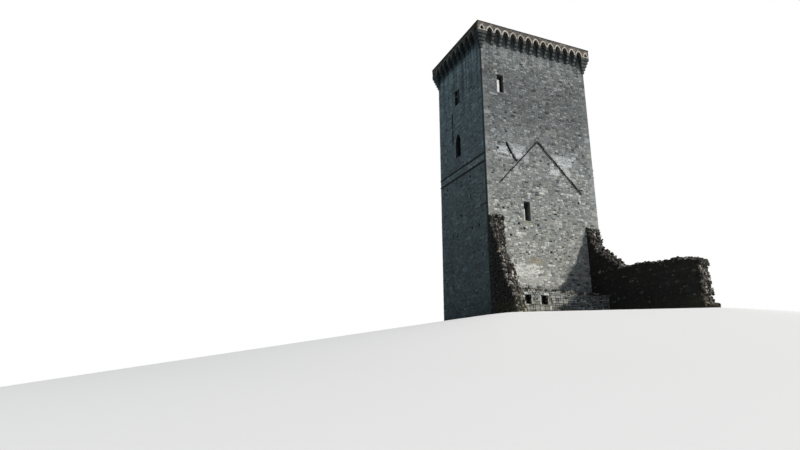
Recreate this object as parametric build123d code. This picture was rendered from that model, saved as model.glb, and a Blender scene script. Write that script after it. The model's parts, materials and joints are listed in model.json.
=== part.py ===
"""Medieval castle keep: a tall rectangular tower with a machicolated crown, and a lost hall's torn walls.

Millimetres. Z is up, X runs along the front (the face that carried the hall) and Y runs to the back.
The origin is the centre of the tower's plan at its foot.
"""

import os
from math import atan2, cos, pi, sin

from build123d import *

os.makedirs("parts", exist_ok=True)

# Tower body
TOWER_WIDTH = 13600
TOWER_DEPTH = 9600
HALL_FLOOR_Z = 8300
CHAMBER_FLOOR_Z = 16200
TOP_FLOOR_Z = 21250
CROWN_Z = 29650
PAVING_THICK = 300
KERB_THICK = 250
BASEMENT_WALL = 2300
HALL_WALL = 2100
CHAMBER_WALL = 1900
TOP_WALL = 1700
WALL_HEAD = 1500

# Floors
GROUND_FLOOR_THICK = 250
BEAM_WIDTH = 260
BEAM_HEIGHT = 300
BEAM_PITCH = 760
BEAM_END_GAP = 15
BOARD_THICK = 60
BOARD_EDGE_GAP = 15

# Crown: corbels, arcade, parapet and coping
OVERHANG = 550
CORBEL_WIDTH = 300
CORBEL_HEIGHT = 360
CORBEL_COURSES = 3
CORNER_COURSES = 5
CORNER_BAY = 550
CORNER_LEAST = 150
NOSE_RADIUS = 110
NOSE_SHARE = 0.8
NOSE_CHORDS = 3
ARC_CHORDS = 5
FRONT_ARCHES = 13
SIDE_ARCHES = 9
ARCADE_THICK = 280
ARCH_RISE = 570
ARCADE_HEIGHT = 560
PARAPET_HEIGHT = 390
COPING_THICK = 120
COPING_LIP = 50
MOULDING_WIDTH = 130
MOULDING_CROWN = 170
MOULDING_PROUD = 45
NICHE_WIDTH = 420
NICHE_RISE = 400
NICHE_DEPTH = 120
NICHE_SILL = 100
NICHE_JAMB = 40

# Windows: width, height of the sill, height of the head, place along the face
REVEAL = 320
SPLAY = 420
SILL_DROP = 260
UPPER_WINDOW = (780, 23130, 25180, -4590)
LOWER_WINDOW = (760, 9500, 11500, -2220)
CROSS_WINDOW = (1080, 23750, 25600, -400)
LANCET = (1120, 17550, 19250, -530)
LANCET_RISE = 1080
HIGH_SLIT = (200, 21800, 23100, -1630)
STAIR_SLIT = (200, 19850, 21150, -1630)
HALL_SLIT = (200, 12050, 12650, 1740)
TWIN_SLITS = ((180, 8700, 9200, -1240), (180, 8700, 9200, -2210))
TWIN_SPLAY = 300
TWIN_SILL_DROP = 30
MULLION = 130
TRANSOM = 130
CROSS_DEPTH = 160
CROSS_SETBACK = 90
CROSS_TRANSOM_Z = 24900

# Doorway in the rear wall
DOOR_WIDTH = 1500
DOOR_SPRING_Z = 2100
DOOR_RISE = 1050
DOOR_PIER = 4200

# Scaffold holes in the front and left faces: place along the face, height
PUTLOG = 260
PUTLOG_DEPTH = 600
FRONT_PUTLOGS = (
    (-5000, 10570),
    (-5450, 9720),
    (-3290, 9140),
    (-990, 9180),
    (-2680, 8700),
    (-4280, 7870),
    (380, 6530),
    (4400, 12110),
    (-5300, 16850),
)
LEFT_PUTLOGS = ((1730, 14600), (-160, 14150), (-3310, 14600), (-330, 10880), (1770, 9030), (3120, 9030))

# String courses on the side faces and the weathering of the hall's lost roof on the front
STRING_TOPS = (16200, 15380)
STRING_HEIGHT = 130
STRING_PROUD = 100
BROKEN_STRING = (3630, 4630, 10980)
GABLE_APEX = (-360, 18380)
GABLE_FEET = ((-5340, 13150), (4900, 13190))
WEATHERING_THICK = 140
WEATHERING_APEX = 200
WEATHERING_PROUD = 110

# Notches that an older and smaller roof left in the front, one a course: (height, place along the face)
OLD_ROOF_LINE = ((15725, -2970), (16180, -3490), (16900, -3930), (17625, -4220))
OLD_ROOF_NOTCHES = 8
OLD_ROOF_HEADS = ((17400, -5050), (17470, -4640))
NOTCH_WIDTH = 290
NOTCH_DEPTH = 160
NOTCH_BED = 30
NOTCH_HEAD = 130

# Torn walls of the hall, in front of the tower. Profiles are (height, reach out from the front face)
HALL_WALL_THICK = 1700
TORN_COURSE = 400
TORN_JITTER = 130
TORN_LEAST = 40
LEFT_TEAR, ROOT_TEAR, WING_TEAR, THIN_TEAR, CROSS_TEAR = 0.7, 2.1, 1.3, 4.0, 3.2
LEFT_OUTER = ((0, 3900), (970, 3650), (2370, 3050), (3800, 1950), (6900, 1150), (9600, 60))
LEFT_INNER = ((0, 3050), (1260, 2630), (2700, 1850), (4100, 1410), (5900, 300), (8200, 90), (9600, 30))
WING_OUTER = ((4600, 3700), (5200, 3050), (5800, 2350), (6420, 1600), (6950, 880), (7700, 250), (9500, 30))
WING_INNER = ((4600, 4200), (5250, 3000), (6250, 1750), (7300, 880), (8300, 400), (9500, 60))
WING_LENGTH = 12400
WING_END_SKEW = 400
WING_BAYS = 12
WING_TOPS = ((0, 4800), (3000, 4780), (7000, 4600), (11000, 4250), (12400, 4040))
WING_THIN = 150
WING_STEP = 100
WING_END_LEAST = 60
WING_END_STEP = 300
CROSS_WALL_REACH = 2200
CROSS_WALL_THICK = 900
CROSS_WALL_BAYS = 9
CROSS_WALL_TOPS = ((0, 2350), (5500, 2300), (7000, 2080), (8000, 2350), (10200, 2000))
CROSS_WALL_STEP = 60
CELLAR_WINDOW = (750, 1000, 1850)
CELLAR_WINDOWS_ALONG = (670, 2500)

# How far a cutting shape runs past the face it cuts
CUT_PAST = 1

HALF_WIDTH = TOWER_WIDTH / 2
HALF_DEPTH = TOWER_DEPTH / 2
CORNER_BEARING = CORNER_BAY - CORBEL_WIDTH / 2
FRONT_PITCH = (TOWER_WIDTH - 2 * CORNER_BEARING) / FRONT_ARCHES
SIDE_PITCH = (TOWER_DEPTH - 2 * CORNER_BEARING) / SIDE_ARCHES
PARAPET_Z = CROWN_Z + ARCADE_HEIGHT
COPING_Z = PARAPET_Z + PARAPET_HEIGHT
PAVING_Z = PARAPET_Z - PAVING_THICK
TERRACE_BEAM_Z = PAVING_Z - BEAM_HEIGHT

# Each face is modelled as the front one and turned about Z: the turn, half its length and its distance out
FACES = {
    "front": (0, HALF_WIDTH, HALF_DEPTH),
    "right": (90, HALF_DEPTH, HALF_WIDTH),
    "back": (180, HALF_WIDTH, HALF_DEPTH),
    "left": (270, HALF_DEPTH, HALF_WIDTH),
}

SIDES = ("left", "right")

# Each storey of wall: its foot, its head and its thickness
STOREYS = {
    "basement": (0, HALL_FLOOR_Z, BASEMENT_WALL),
    "hall": (HALL_FLOOR_Z, CHAMBER_FLOOR_Z, HALL_WALL),
    "chamber": (CHAMBER_FLOOR_Z, TOP_FLOOR_Z, CHAMBER_WALL),
    "top": (TOP_FLOOR_Z, PAVING_Z, TOP_WALL),
}


def block(x0, x1, y0, y1, z0, z1):
    """A box between three pairs of coordinates."""
    centre = Pos((x0 + x1) / 2, (y0 + y1) / 2, (z0 + z1) / 2)
    return centre * Box(x1 - x0, y1 - y0, z1 - z0)


def prism(points, low, high):
    """A plan outline in X and Y raised from one height to another."""
    return Pos(0, 0, low) * extrude(make_face(Polyline(*points, close=True)), high - low)


def upright(face, y_front, depth):
    """A face drawn in X and Z, set at y_front and given a depth towards the back."""
    return Pos(0, y_front + depth, 0) * extrude(Rot(90, 0, 0) * face, depth)


def turned(shape, face):
    """A shape modelled on the front, turned to the named face."""
    return Rot(0, 0, FACES[face][0]) * shape


def pointed_outline(width, foot, spring, rise):
    """A pointed arch opening drawn in X and Z: straight jambs and two arcs that meet at the apex."""
    half = width / 2
    radius = (rise**2 + half**2) / (2 * half)
    mid_angle = atan2(rise, radius - half) / 2
    mid_x = half - radius + radius * cos(mid_angle)
    mid_z = spring + radius * sin(mid_angle)
    edges = Polyline((-half, spring), (-half, foot), (half, foot), (half, spring))
    edges += ThreePointArc((half, spring), (mid_x, mid_z), (0, spring + rise))
    edges += ThreePointArc((0, spring + rise), (-mid_x, mid_z), (-half, spring))
    return make_face(edges)


def small_arch(width, foot, spring, rise):
    """A pointed arch of the crown, drawn in X and Z, with arcs of a few chords each."""
    half = width / 2
    radius = (rise**2 + half**2) / (2 * half)
    apex_angle = atan2(rise, radius - half)
    angles = [apex_angle * i / ARC_CHORDS for i in range(ARC_CHORDS)]
    right = [(half, foot)] + [(half - radius + radius * cos(a), spring + radius * sin(a)) for a in angles]
    left = [(-x, z) for x, z in reversed(right)]
    return make_face(Polyline(*right, (0, spring + rise), *left, close=True))


def embrasure(place, width, sill, head, outer_y, thick, splay=SPLAY, drop=SILL_DROP):
    """The splayed room side of a window, from the reveal to the inner face, with its sill dropped."""
    start = outer_y + REVEAL
    end = outer_y + thick + CUT_PAST
    near = width / 2
    far = near + splay
    plan = ((place - near, start), (place + near, start), (place + far, end), (place - far, end))
    return prism(plan, sill - drop, head)


def window_void(window, outer_y, thick, splay=SPLAY, drop=SILL_DROP):
    """A rectangular window cut through a wall: a straight reveal outside and a splay inside."""
    width, sill, head, place = window
    left, right = place - width / 2, place + width / 2
    outside = block(left, right, outer_y - CUT_PAST, outer_y + REVEAL, sill, head)
    return outside + embrasure(place, width, sill, head, outer_y, thick, splay, drop)


def lancet_void(outer_y, thick):
    """The pointed window: an arched reveal outside and a flat-headed splay inside."""
    width, sill, spring, place = LANCET
    arch = pointed_outline(width, sill, spring, LANCET_RISE)
    outside = Pos(place, 0, 0) * upright(arch, outer_y - CUT_PAST, REVEAL + CUT_PAST)
    return outside + embrasure(place, width, sill, spring + LANCET_RISE, outer_y, thick)


def putlog_voids(face, places, low, high):
    """Blind square holes that the masons' scaffold poles left in one storey of a face."""
    half = PUTLOG / 2
    outer_y = -FACES[face][2]
    hole = block(-half, half, outer_y - CUT_PAST, outer_y + PUTLOG_DEPTH, -half, half)
    return [turned(Pos(u, 0, z) * hole, face) for u, z in places if low < z < high]


def at_height(profile, z):
    """The value of a profile at a height, by straight lines between its points."""
    for (z0, r0), (z1, r1) in zip(profile, profile[1:]):
        if z <= z1:
            return r0 + (r1 - r0) * (z - z0) / (z1 - z0)
    return profile[-1][1]


def old_roof_notches(low, high):
    """The notches of the older roof in one storey of the front face: stepped down its slope, and along its head."""
    foot, head = OLD_ROOF_LINE[0][0], OLD_ROOF_LINE[-1][0]
    course = (head - foot) / OLD_ROOF_NOTCHES
    feet = [foot + i * course for i in range(OLD_ROOF_NOTCHES)]
    places = [(z, at_height(OLD_ROOF_LINE, z + course / 2), course - NOTCH_BED) for z in feet]
    places += [(z, x, NOTCH_HEAD) for z, x in OLD_ROOF_HEADS]
    half = NOTCH_WIDTH / 2
    near, far = -HALF_DEPTH - CUT_PAST, -HALF_DEPTH + NOTCH_DEPTH
    return [block(x - half, x + half, near, far, z, z + height) for z, x, height in places if low <= z < high]


def front_like_voids(storey, outer_y, thick):
    """Windows of the front and back faces in one storey."""
    voids = {"hall": [LOWER_WINDOW], "top": [UPPER_WINDOW]}.get(storey, [])
    return [window_void(w, outer_y, thick) for w in voids]


def side_like_voids(storey, outer_y, thick):
    """Windows of the left and right faces in one storey."""
    plain = {"hall": [HALL_SLIT], "chamber": [STAIR_SLIT], "top": [HIGH_SLIT, CROSS_WINDOW]}
    voids = [window_void(w, outer_y, thick) for w in plain.get(storey, [])]
    if storey == "hall":
        voids += [window_void(w, outer_y, thick, TWIN_SPLAY, TWIN_SILL_DROP) for w in TWIN_SLITS]
    if storey == "chamber":
        voids.append(lancet_void(outer_y, thick))
    return voids


def storey_wall(face, storey):
    """One storey of one wall, with its openings cut. Side walls stand between the front and back ones."""
    low, high, thick = STOREYS[storey]
    long_face = face in ("front", "back")
    _, half_length, out = FACES[face]
    half = half_length if long_face else half_length - thick
    outer_y = -out
    wall = block(-half, half, outer_y, outer_y + thick, low, high)
    if storey == "top" and long_face:
        room = half_length - thick
        wall -= block(-room, room, outer_y + WALL_HEAD, outer_y + thick, TERRACE_BEAM_Z, high)
    make_voids = front_like_voids if long_face else side_like_voids
    for void in make_voids(storey, outer_y, thick):
        wall -= void
    wall = turned(wall, face)
    for putlog_face, places in (("front", FRONT_PUTLOGS), ("left", LEFT_PUTLOGS)):
        for void in putlog_voids(putlog_face, places, low, high):
            wall -= void
    if face == "front":
        for notch in old_roof_notches(low, high):
            wall -= notch
    return wall


def doorway_walls():
    """The rear basement wall: the piers either side of the doorway, and the arched bay between them."""
    low, high, thick = STOREYS["basement"]
    outer_y = -HALF_DEPTH
    left = block(-HALF_WIDTH, -DOOR_PIER / 2, outer_y, outer_y + thick, low, high)
    right = block(DOOR_PIER / 2, HALF_WIDTH, outer_y, outer_y + thick, low, high)
    bay = block(-DOOR_PIER / 2, DOOR_PIER / 2, outer_y, outer_y + thick, low, high)
    arch = pointed_outline(DOOR_WIDTH, GROUND_FLOOR_THICK, DOOR_SPRING_Z, DOOR_RISE)
    bay -= upright(arch, outer_y - CUT_PAST, thick + 2 * CUT_PAST)
    return {
        "back_wall_basement": turned(Compound([left, right]), "back"),
        "back_wall_doorway": turned(bay, "back"),
    }


def tower_walls():
    """Every wall of the tower, storey by storey."""
    walls = {}
    for storey in STOREYS:
        for face in FACES:
            if (face, storey) != ("back", "basement"):
                walls[f"{face}_wall_{storey}"] = storey_wall(face, storey)
    walls.update(doorway_walls())
    return walls


def ground_floor():
    """Stone paving inside the foot of the tower."""
    x = HALF_WIDTH - BASEMENT_WALL
    y = HALF_DEPTH - BASEMENT_WALL
    return block(-x, x, -y, y, 0, GROUND_FLOOR_THICK)


def floor_beams(foot, end_wall, side_wall):
    """A row of beams across the tower, resting on the ledge where the wall below is thicker."""
    reach = HALF_DEPTH - end_wall - BEAM_END_GAP
    room = HALF_WIDTH - side_wall - BEAM_WIDTH
    count = int(2 * room / BEAM_PITCH) + 1
    start = -(count - 1) * BEAM_PITCH / 2
    half = BEAM_WIDTH / 2
    places = [start + i * BEAM_PITCH for i in range(count)]
    return Compound([block(x - half, x + half, -reach, reach, foot, foot + BEAM_HEIGHT) for x in places])


def floor_boards(foot, wall):
    """The boarded deck on a row of beams."""
    x = HALF_WIDTH - wall - BOARD_EDGE_GAP
    y = HALF_DEPTH - wall - BOARD_EDGE_GAP
    deck = foot + BEAM_HEIGHT
    return block(-x, x, -y, y, deck, deck + BOARD_THICK)


def terrace_paving():
    """The stone terrace that closes the tower, with a kerb along the slots behind the parapet."""
    slab = block(-HALF_WIDTH, HALF_WIDTH, -HALF_DEPTH, HALF_DEPTH, PAVING_Z, PARAPET_Z)
    return slab + ring(0, -KERB_THICK, PARAPET_Z, COPING_Z)


def bearing_places(face):
    """Where the plain corbels of a face stand, along the face."""
    long_face = face in ("front", "back")
    arches = FRONT_ARCHES if long_face else SIDE_ARCHES
    pitch = FRONT_PITCH if long_face else SIDE_PITCH
    return [(i - (arches - 2) / 2) * pitch for i in range(arches - 1)]


def nosed_front(reach, z):
    """The outer line of one corbel stone in Y and Z: a rounded lower edge, then the stone's face."""
    radius = min(NOSE_RADIUS, NOSE_SHARE * reach)
    angles = [pi / 2 * i / NOSE_CHORDS for i in range(NOSE_CHORDS + 1)]
    nose = [(radius - reach - radius * sin(a), z + radius - radius * cos(a)) for a in angles]
    return [*nose, (-reach, z + CORBEL_HEIGHT)]


def run_along(points, width):
    """A section drawn in Y and Z, run along X and centred on it."""
    return extrude(Plane.YZ * make_face(Polyline(*points, close=True)), width / 2, both=True)


def plain_corbel():
    """Three stones against the front face plane at Y = 0, each reaching further out than the one below."""
    foot = CROWN_Z - CORBEL_COURSES * CORBEL_HEIGHT
    line = [(0, CROWN_Z), (0, foot)]
    for i in range(CORBEL_COURSES):
        line += nosed_front(OVERHANG * (i + 1) / CORBEL_COURSES, foot + i * CORBEL_HEIGHT)
    return run_along(line, CORBEL_WIDTH)


def face_corbels(face):
    """The row of plain corbels below one side of the parapet."""
    corbel = plain_corbel()
    out = FACES[face][2]
    return Compound([turned(Pos(u, -out, 0) * corbel, face) for u in bearing_places(face)])


def corner_corbel():
    """The stepped stones that turn a corner, with that corner at the origin and the tower to +X and +Y."""
    stones = None
    for i in range(CORNER_COURSES):
        share = (i + 1) / CORNER_COURSES
        reach = OVERHANG * share
        along = CORNER_LEAST + (CORNER_BAY - CORNER_LEAST) * share
        z = CROWN_Z - (CORNER_COURSES - i) * CORBEL_HEIGHT
        section = [(along, z), *nosed_front(reach, z), (along, z + CORBEL_HEIGHT)]
        course = run_along(section, 2 * (along + reach))
        stone = course & (Rot(0, 0, -90) * course)
        stone -= block(0, along, 0, along, z, z + CORBEL_HEIGHT)
        stones = stone if stones is None else stones + stone
    return stones


def corner_corbels():
    """All four corner corbels."""
    corner = corner_corbel()
    corners = []
    for x, y, turn in (
        (-HALF_WIDTH, -HALF_DEPTH, 0),
        (HALF_WIDTH, -HALF_DEPTH, 90),
        (HALF_WIDTH, HALF_DEPTH, 180),
        (-HALF_WIDTH, HALF_DEPTH, 270),
    ):
        corners.append(Pos(x, y, 0) * Rot(0, 0, turn) * corner)
    return Compound(corners)


def arch_centres(face):
    """The centres of the open arches of one side."""
    long_face = face in ("front", "back")
    arches = FRONT_ARCHES if long_face else SIDE_ARCHES
    pitch = FRONT_PITCH if long_face else SIDE_PITCH
    return [(i - (arches - 1) / 2) * pitch for i in range(arches)], pitch


def arcade_half(face):
    """Half the length of an arcade: the front and back ones run past the side ones."""
    half_length = FACES[face][1] + OVERHANG
    return half_length if face in ("front", "back") else half_length - ARCADE_THICK


def niche_centre(face):
    """The centre of the small blind arch at the end of a side."""
    end = FACES[face][1] + OVERHANG
    inner = FACES[face][1] - CORNER_BEARING
    return (end + inner) / 2


def face_arcade(face):
    """The springer stones of one side: the arches are cut out, so each stone stands on its own corbel."""
    centres, pitch = arch_centres(face)
    half = arcade_half(face)
    outer_y = -(FACES[face][2] + OVERHANG)
    stones = block(-half, half, outer_y, outer_y + ARCADE_THICK, CROWN_Z, PARAPET_Z)
    opening = small_arch(pitch - CORBEL_WIDTH, CROWN_Z - CUT_PAST, CROWN_Z, ARCH_RISE)
    cutter = upright(opening, outer_y - CUT_PAST, ARCADE_THICK + 2 * CUT_PAST)
    for u in centres:
        stones -= Pos(u, 0, 0) * cutter
    sill = CROWN_Z + NICHE_SILL
    niche = small_arch(NICHE_WIDTH, sill, sill + NICHE_JAMB, NICHE_RISE)
    recess = upright(niche, outer_y - CUT_PAST, NICHE_DEPTH + CUT_PAST)
    for side in (-1, 1):
        stones -= Pos(side * niche_centre(face), 0, 0) * recess
    return turned(Compound(stones.solids()), face)


def arch_band(width, foot, rise):
    """The moulding round one arch, drawn in X and Z."""
    inner = small_arch(width, foot - CUT_PAST, foot, rise)
    outer = small_arch(width + 2 * MOULDING_WIDTH, foot - CUT_PAST, foot, rise + MOULDING_CROWN)
    return outer - inner


def face_mouldings(face):
    """The pale scalloped band along one side, standing proud of the arcade."""
    centres, pitch = arch_centres(face)
    width = pitch - CORBEL_WIDTH
    outer_y = -(FACES[face][2] + OVERHANG)
    half = FACES[face][1] + OVERHANG
    band = None
    for u in centres:
        ring = Pos(u, 0) * arch_band(width, CROWN_Z, ARCH_RISE)
        band = ring if band is None else band + ring
    for side in (-1, 1):
        ring = arch_band(NICHE_WIDTH, CROWN_Z + NICHE_SILL + NICHE_JAMB, NICHE_RISE)
        jambs = Rectangle(NICHE_WIDTH + 2 * MOULDING_WIDTH, NICHE_JAMB) - Rectangle(NICHE_WIDTH, NICHE_JAMB)
        jambs = Pos(0, CROWN_Z + NICHE_SILL + NICHE_JAMB / 2) * jambs
        sill = Pos(0, CROWN_Z + NICHE_SILL / 2) * Rectangle(2 * (half - niche_centre(face)), NICHE_SILL)
        band += Pos(side * niche_centre(face), 0) * (ring + jambs + sill)
    window = Pos(0, CROWN_Z + ARCADE_HEIGHT) * Rectangle(2 * half, 2 * ARCADE_HEIGHT)
    band = band & window
    for u in centres:
        band -= Pos(u, 0) * small_arch(width, CROWN_Z - CUT_PAST, CROWN_Z, ARCH_RISE)
    return turned(upright(band, outer_y - MOULDING_PROUD, MOULDING_PROUD), face)


def ring(reach_out, reach_in, low, high):
    """A square-cornered ring round the tower, reaching out and in from the tower's faces."""
    x, y = HALF_WIDTH, HALF_DEPTH
    outer = block(-x - reach_out, x + reach_out, -y - reach_out, y + reach_out, low, high)
    return outer - block(-x - reach_in, x + reach_in, -y - reach_in, y + reach_in, low, high)


def crown():
    """Corbels, arcades, their mouldings, the parapet and its coping."""
    parts = {f"{face}_corbels": face_corbels(face) for face in FACES}
    parts["corner_corbels"] = corner_corbels()
    for face in FACES:
        parts[f"{face}_arcade"] = face_arcade(face)
    parts["arch_mouldings"] = Compound([s for face in FACES for s in face_mouldings(face).solids()])
    inner = OVERHANG - ARCADE_THICK
    parts["parapet"] = ring(OVERHANG, inner, PARAPET_Z, COPING_Z)
    coping = ring(OVERHANG + COPING_LIP, inner - COPING_LIP, COPING_Z, COPING_Z + COPING_THICK)
    parts["parapet_coping"] = coping
    return parts


def string_course(top, start, end):
    """A drip course on the front face plane, with its top sloped and its lower edge square."""
    drop = STRING_HEIGHT
    points = [(0, top), (-STRING_PROUD, top - drop / 2), (-STRING_PROUD, top - drop), (0, top - drop)]
    return Pos((start + end) / 2, 0, 0) * run_along(points, end - start)


def side_strings(face):
    """The two string courses of a side face, and on the left the short broken one near the front corner."""
    _, half, out = FACES[face]
    strings = [string_course(top, -half, half) for top in STRING_TOPS]
    if face == "left":
        start, end, top = BROKEN_STRING
        strings.append(string_course(top, start, end))
    return Compound([turned(Pos(0, -out, 0) * s, face) for s in strings])


def gable_weathering():
    """The raised line of stones that once covered the joint between the hall's roof and the tower."""
    x, z = GABLE_APEX
    (left_x, left_z), (right_x, right_z) = GABLE_FEET
    drop = WEATHERING_THICK
    upper = [(left_x, left_z), (x, z), (right_x, right_z)]
    lower = [(right_x, right_z - drop), (x, z - WEATHERING_APEX), (left_x, left_z - drop)]
    line = make_face(Polyline(*upper, *lower, close=True))
    return upright(line, -HALF_DEPTH - WEATHERING_PROUD, WEATHERING_PROUD)


def unevenness(i, seed):
    """A fixed value between -1 and 1 for the i-th course, so that torn edges look broken."""
    return sin(2.4 * i + seed) * cos(1.1 * i * i + 2 * seed)


def torn_stack(x_outer, x_inner, outer, inner, low, high, seed):
    """Courses of masonry that end in a torn edge, each with its own reach out from the front face."""
    stack = None
    count = round((high - low) / TORN_COURSE)
    height = (high - low) / count
    for i in range(count):
        z = low + i * height
        jitter = TORN_JITTER * unevenness(i, seed)
        reach_out = max(TORN_LEAST, at_height(outer, z + height / 2) + jitter)
        reach_in = max(TORN_LEAST, at_height(inner, z + height / 2) - jitter)
        plan = (
            (x_outer, -HALF_DEPTH),
            (x_inner, -HALF_DEPTH),
            (x_inner, -HALF_DEPTH - reach_in),
            (x_outer, -HALF_DEPTH - reach_out),
        )
        course = prism(plan, z, z + height)
        stack = course if stack is None else stack + course
    return stack


def left_torn_wall():
    """The root of the hall's left wall, torn away from top to bottom."""
    outer_x = -HALF_WIDTH
    inner_x = outer_x + HALL_WALL_THICK
    return torn_stack(outer_x, inner_x, LEFT_OUTER, LEFT_INNER, 0, LEFT_OUTER[-1][0], LEFT_TEAR)


def wing_root():
    """The high root of the hall's right wall, above the low wing wall."""
    low, high = WING_OUTER[0][0], WING_OUTER[-1][0]
    inner_x = HALF_WIDTH - HALL_WALL_THICK
    return torn_stack(HALF_WIDTH, inner_x, WING_OUTER, WING_INNER, low, high, ROOT_TEAR)


def wing_wall():
    """The hall's right wall, broken down to a low run with a crumbled top."""
    inner_x = HALF_WIDTH - HALL_WALL_THICK
    root_length = WING_INNER[0][1]
    wall = None
    for i in range(WING_BAYS):
        start, end = WING_LENGTH * i / WING_BAYS, WING_LENGTH * (i + 1) / WING_BAYS
        top = at_height(WING_TOPS, (start + end) / 2) + WING_STEP * unevenness(i, WING_TEAR)
        top = WING_OUTER[0][0] if start < root_length else top
        thin = WING_THIN * (1 + unevenness(i, THIN_TEAR)) / 2 if start > root_length else 0
        bay = block(inner_x, HALF_WIDTH - thin, -HALF_DEPTH - end, -HALF_DEPTH - start, 0, top)
        wall = bay if wall is None else wall + bay
    return wall - broken_end(inner_x, HALF_WIDTH, -HALF_DEPTH - WING_LENGTH)


def broken_end(x0, x1, end_y):
    """What is missing from the wing's far end, course by course and skewed, above the lowest course."""
    missing = None
    inner_x, outer_x, start = x0 - CUT_PAST, x1 + CUT_PAST, end_y - CUT_PAST
    for i in range(1, int(WING_TOPS[0][1] / TORN_COURSE)):
        depth = WING_END_LEAST + WING_END_STEP * (1 + unevenness(i, THIN_TEAR)) / 2
        ends = (outer_x, end_y + depth + WING_END_SKEW), (inner_x, end_y + depth)
        plan = ((inner_x, start), (outer_x, start), *ends)
        gap = prism(plan, i * TORN_COURSE, (i + 1) * TORN_COURSE)
        missing = gap if missing is None else missing + gap
    return missing


def cross_wall():
    """The low wall that closed the hall's cellar, with two small windows."""
    inner_x = HALF_WIDTH - HALL_WALL_THICK
    front = -HALF_DEPTH - CROSS_WALL_REACH
    length = 2 * inner_x
    wall = None
    for i in range(CROSS_WALL_BAYS):
        start, end = length * i / CROSS_WALL_BAYS, length * (i + 1) / CROSS_WALL_BAYS
        top = at_height(CROSS_WALL_TOPS, (start + end) / 2) + CROSS_WALL_STEP * unevenness(i, CROSS_TEAR)
        bay = block(-inner_x + start, -inner_x + end, front, front + CROSS_WALL_THICK, 0, top)
        wall = bay if wall is None else wall + bay
    width, sill, head = CELLAR_WINDOW
    back = front + CROSS_WALL_THICK
    for along in CELLAR_WINDOWS_ALONG:
        x = along - inner_x
        wall -= block(x - width / 2, x + width / 2, front - CUT_PAST, back + CUT_PAST, sill, head)
    return wall


def window_cross(face):
    """The stone cross of the high window, set back in its reveal."""
    out = FACES[face][2]
    back = -out + CROSS_SETBACK + CROSS_DEPTH
    front = -out + CROSS_SETBACK
    width, sill, head, place = CROSS_WINDOW
    cross = block(place - MULLION / 2, place + MULLION / 2, front, back, sill, head)
    bar_top = CROSS_TRANSOM_Z + TRANSOM
    cross += block(place - width / 2, place + width / 2, front, back, CROSS_TRANSOM_Z, bar_top)
    return turned(cross, face)


def build():
    """Every node of the keep by name."""
    parts = tower_walls()
    parts["ground_floor"] = ground_floor()
    for name, foot, wall in (
        ("hall_floor", HALL_FLOOR_Z, HALL_WALL),
        ("chamber_floor", CHAMBER_FLOOR_Z, CHAMBER_WALL),
        ("top_floor", TOP_FLOOR_Z, TOP_WALL),
    ):
        parts[f"{name}_beams"] = floor_beams(foot, wall, wall)
        parts[f"{name}_boards"] = floor_boards(foot, wall)
    parts["terrace_beams"] = floor_beams(TERRACE_BEAM_Z, WALL_HEAD, TOP_WALL)
    parts["terrace_paving"] = terrace_paving()
    parts.update(crown())
    parts["string_courses"] = Compound([s for face in SIDES for s in side_strings(face).solids()])
    parts["window_crosses"] = Compound([window_cross(face) for face in SIDES])
    parts["roof_weathering"] = gable_weathering()
    parts["left_torn_wall"] = left_torn_wall()
    parts["wing_wall_root"] = wing_root()
    parts["wing_wall"] = wing_wall()
    parts["cellar_front_wall"] = cross_wall()
    return parts


total = 0
for node, shape in build().items():
    export_step(shape, f"parts/{node}.step")
    total += sum(s.volume for s in shape.solids())
print("stone and timber, cubic metres:", round(total / 1e9, 1))
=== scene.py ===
# %% [markdown]
# # Dressing a castle keep in stone
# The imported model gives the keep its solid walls, floors and crown. What it lacks is masonry: every stone
# in the faces, the dressed blocks round the openings, the broken rubble where the hall was torn away, and
# the finish of each surface. Everything here is laid in metres, in the same frame as the solids, so each
# stone sits on its wall.

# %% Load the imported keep
import json
import math

import bpy
import numpy as np
from mathutils import Matrix, Vector
from mathutils.bvhtree import BVHTree


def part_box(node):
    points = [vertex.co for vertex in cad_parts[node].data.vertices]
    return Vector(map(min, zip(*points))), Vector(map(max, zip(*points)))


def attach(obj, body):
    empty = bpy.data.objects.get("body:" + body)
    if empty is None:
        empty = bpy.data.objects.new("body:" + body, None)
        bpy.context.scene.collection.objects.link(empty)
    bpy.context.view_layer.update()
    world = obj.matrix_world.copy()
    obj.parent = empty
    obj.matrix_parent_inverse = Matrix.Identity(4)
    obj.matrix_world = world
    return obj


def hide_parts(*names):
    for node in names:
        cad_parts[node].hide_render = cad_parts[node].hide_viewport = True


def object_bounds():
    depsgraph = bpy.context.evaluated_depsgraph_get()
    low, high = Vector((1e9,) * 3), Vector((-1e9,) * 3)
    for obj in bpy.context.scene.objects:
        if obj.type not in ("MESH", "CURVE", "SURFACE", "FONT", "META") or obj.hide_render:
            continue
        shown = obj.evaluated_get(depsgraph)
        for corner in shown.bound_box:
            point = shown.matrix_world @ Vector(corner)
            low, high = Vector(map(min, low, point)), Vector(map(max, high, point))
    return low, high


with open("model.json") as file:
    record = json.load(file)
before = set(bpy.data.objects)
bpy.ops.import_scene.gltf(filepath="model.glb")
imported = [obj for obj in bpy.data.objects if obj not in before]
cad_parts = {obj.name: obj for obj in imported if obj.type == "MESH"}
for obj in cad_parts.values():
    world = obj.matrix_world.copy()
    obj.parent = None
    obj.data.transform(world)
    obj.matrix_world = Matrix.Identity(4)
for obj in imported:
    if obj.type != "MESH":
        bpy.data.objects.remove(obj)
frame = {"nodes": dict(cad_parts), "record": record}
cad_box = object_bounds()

BODY = "root"
print("CAD nodes:", len(frame["nodes"]))

# %% [markdown]
# ## Where the walls stand
# The faces of the tower are read from the solids, never typed again. A face has its own flat frame: u runs
# along it to the right as someone outside sees it, v runs up, and n points out of the wall. All stones are
# laid in u and v.

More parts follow.
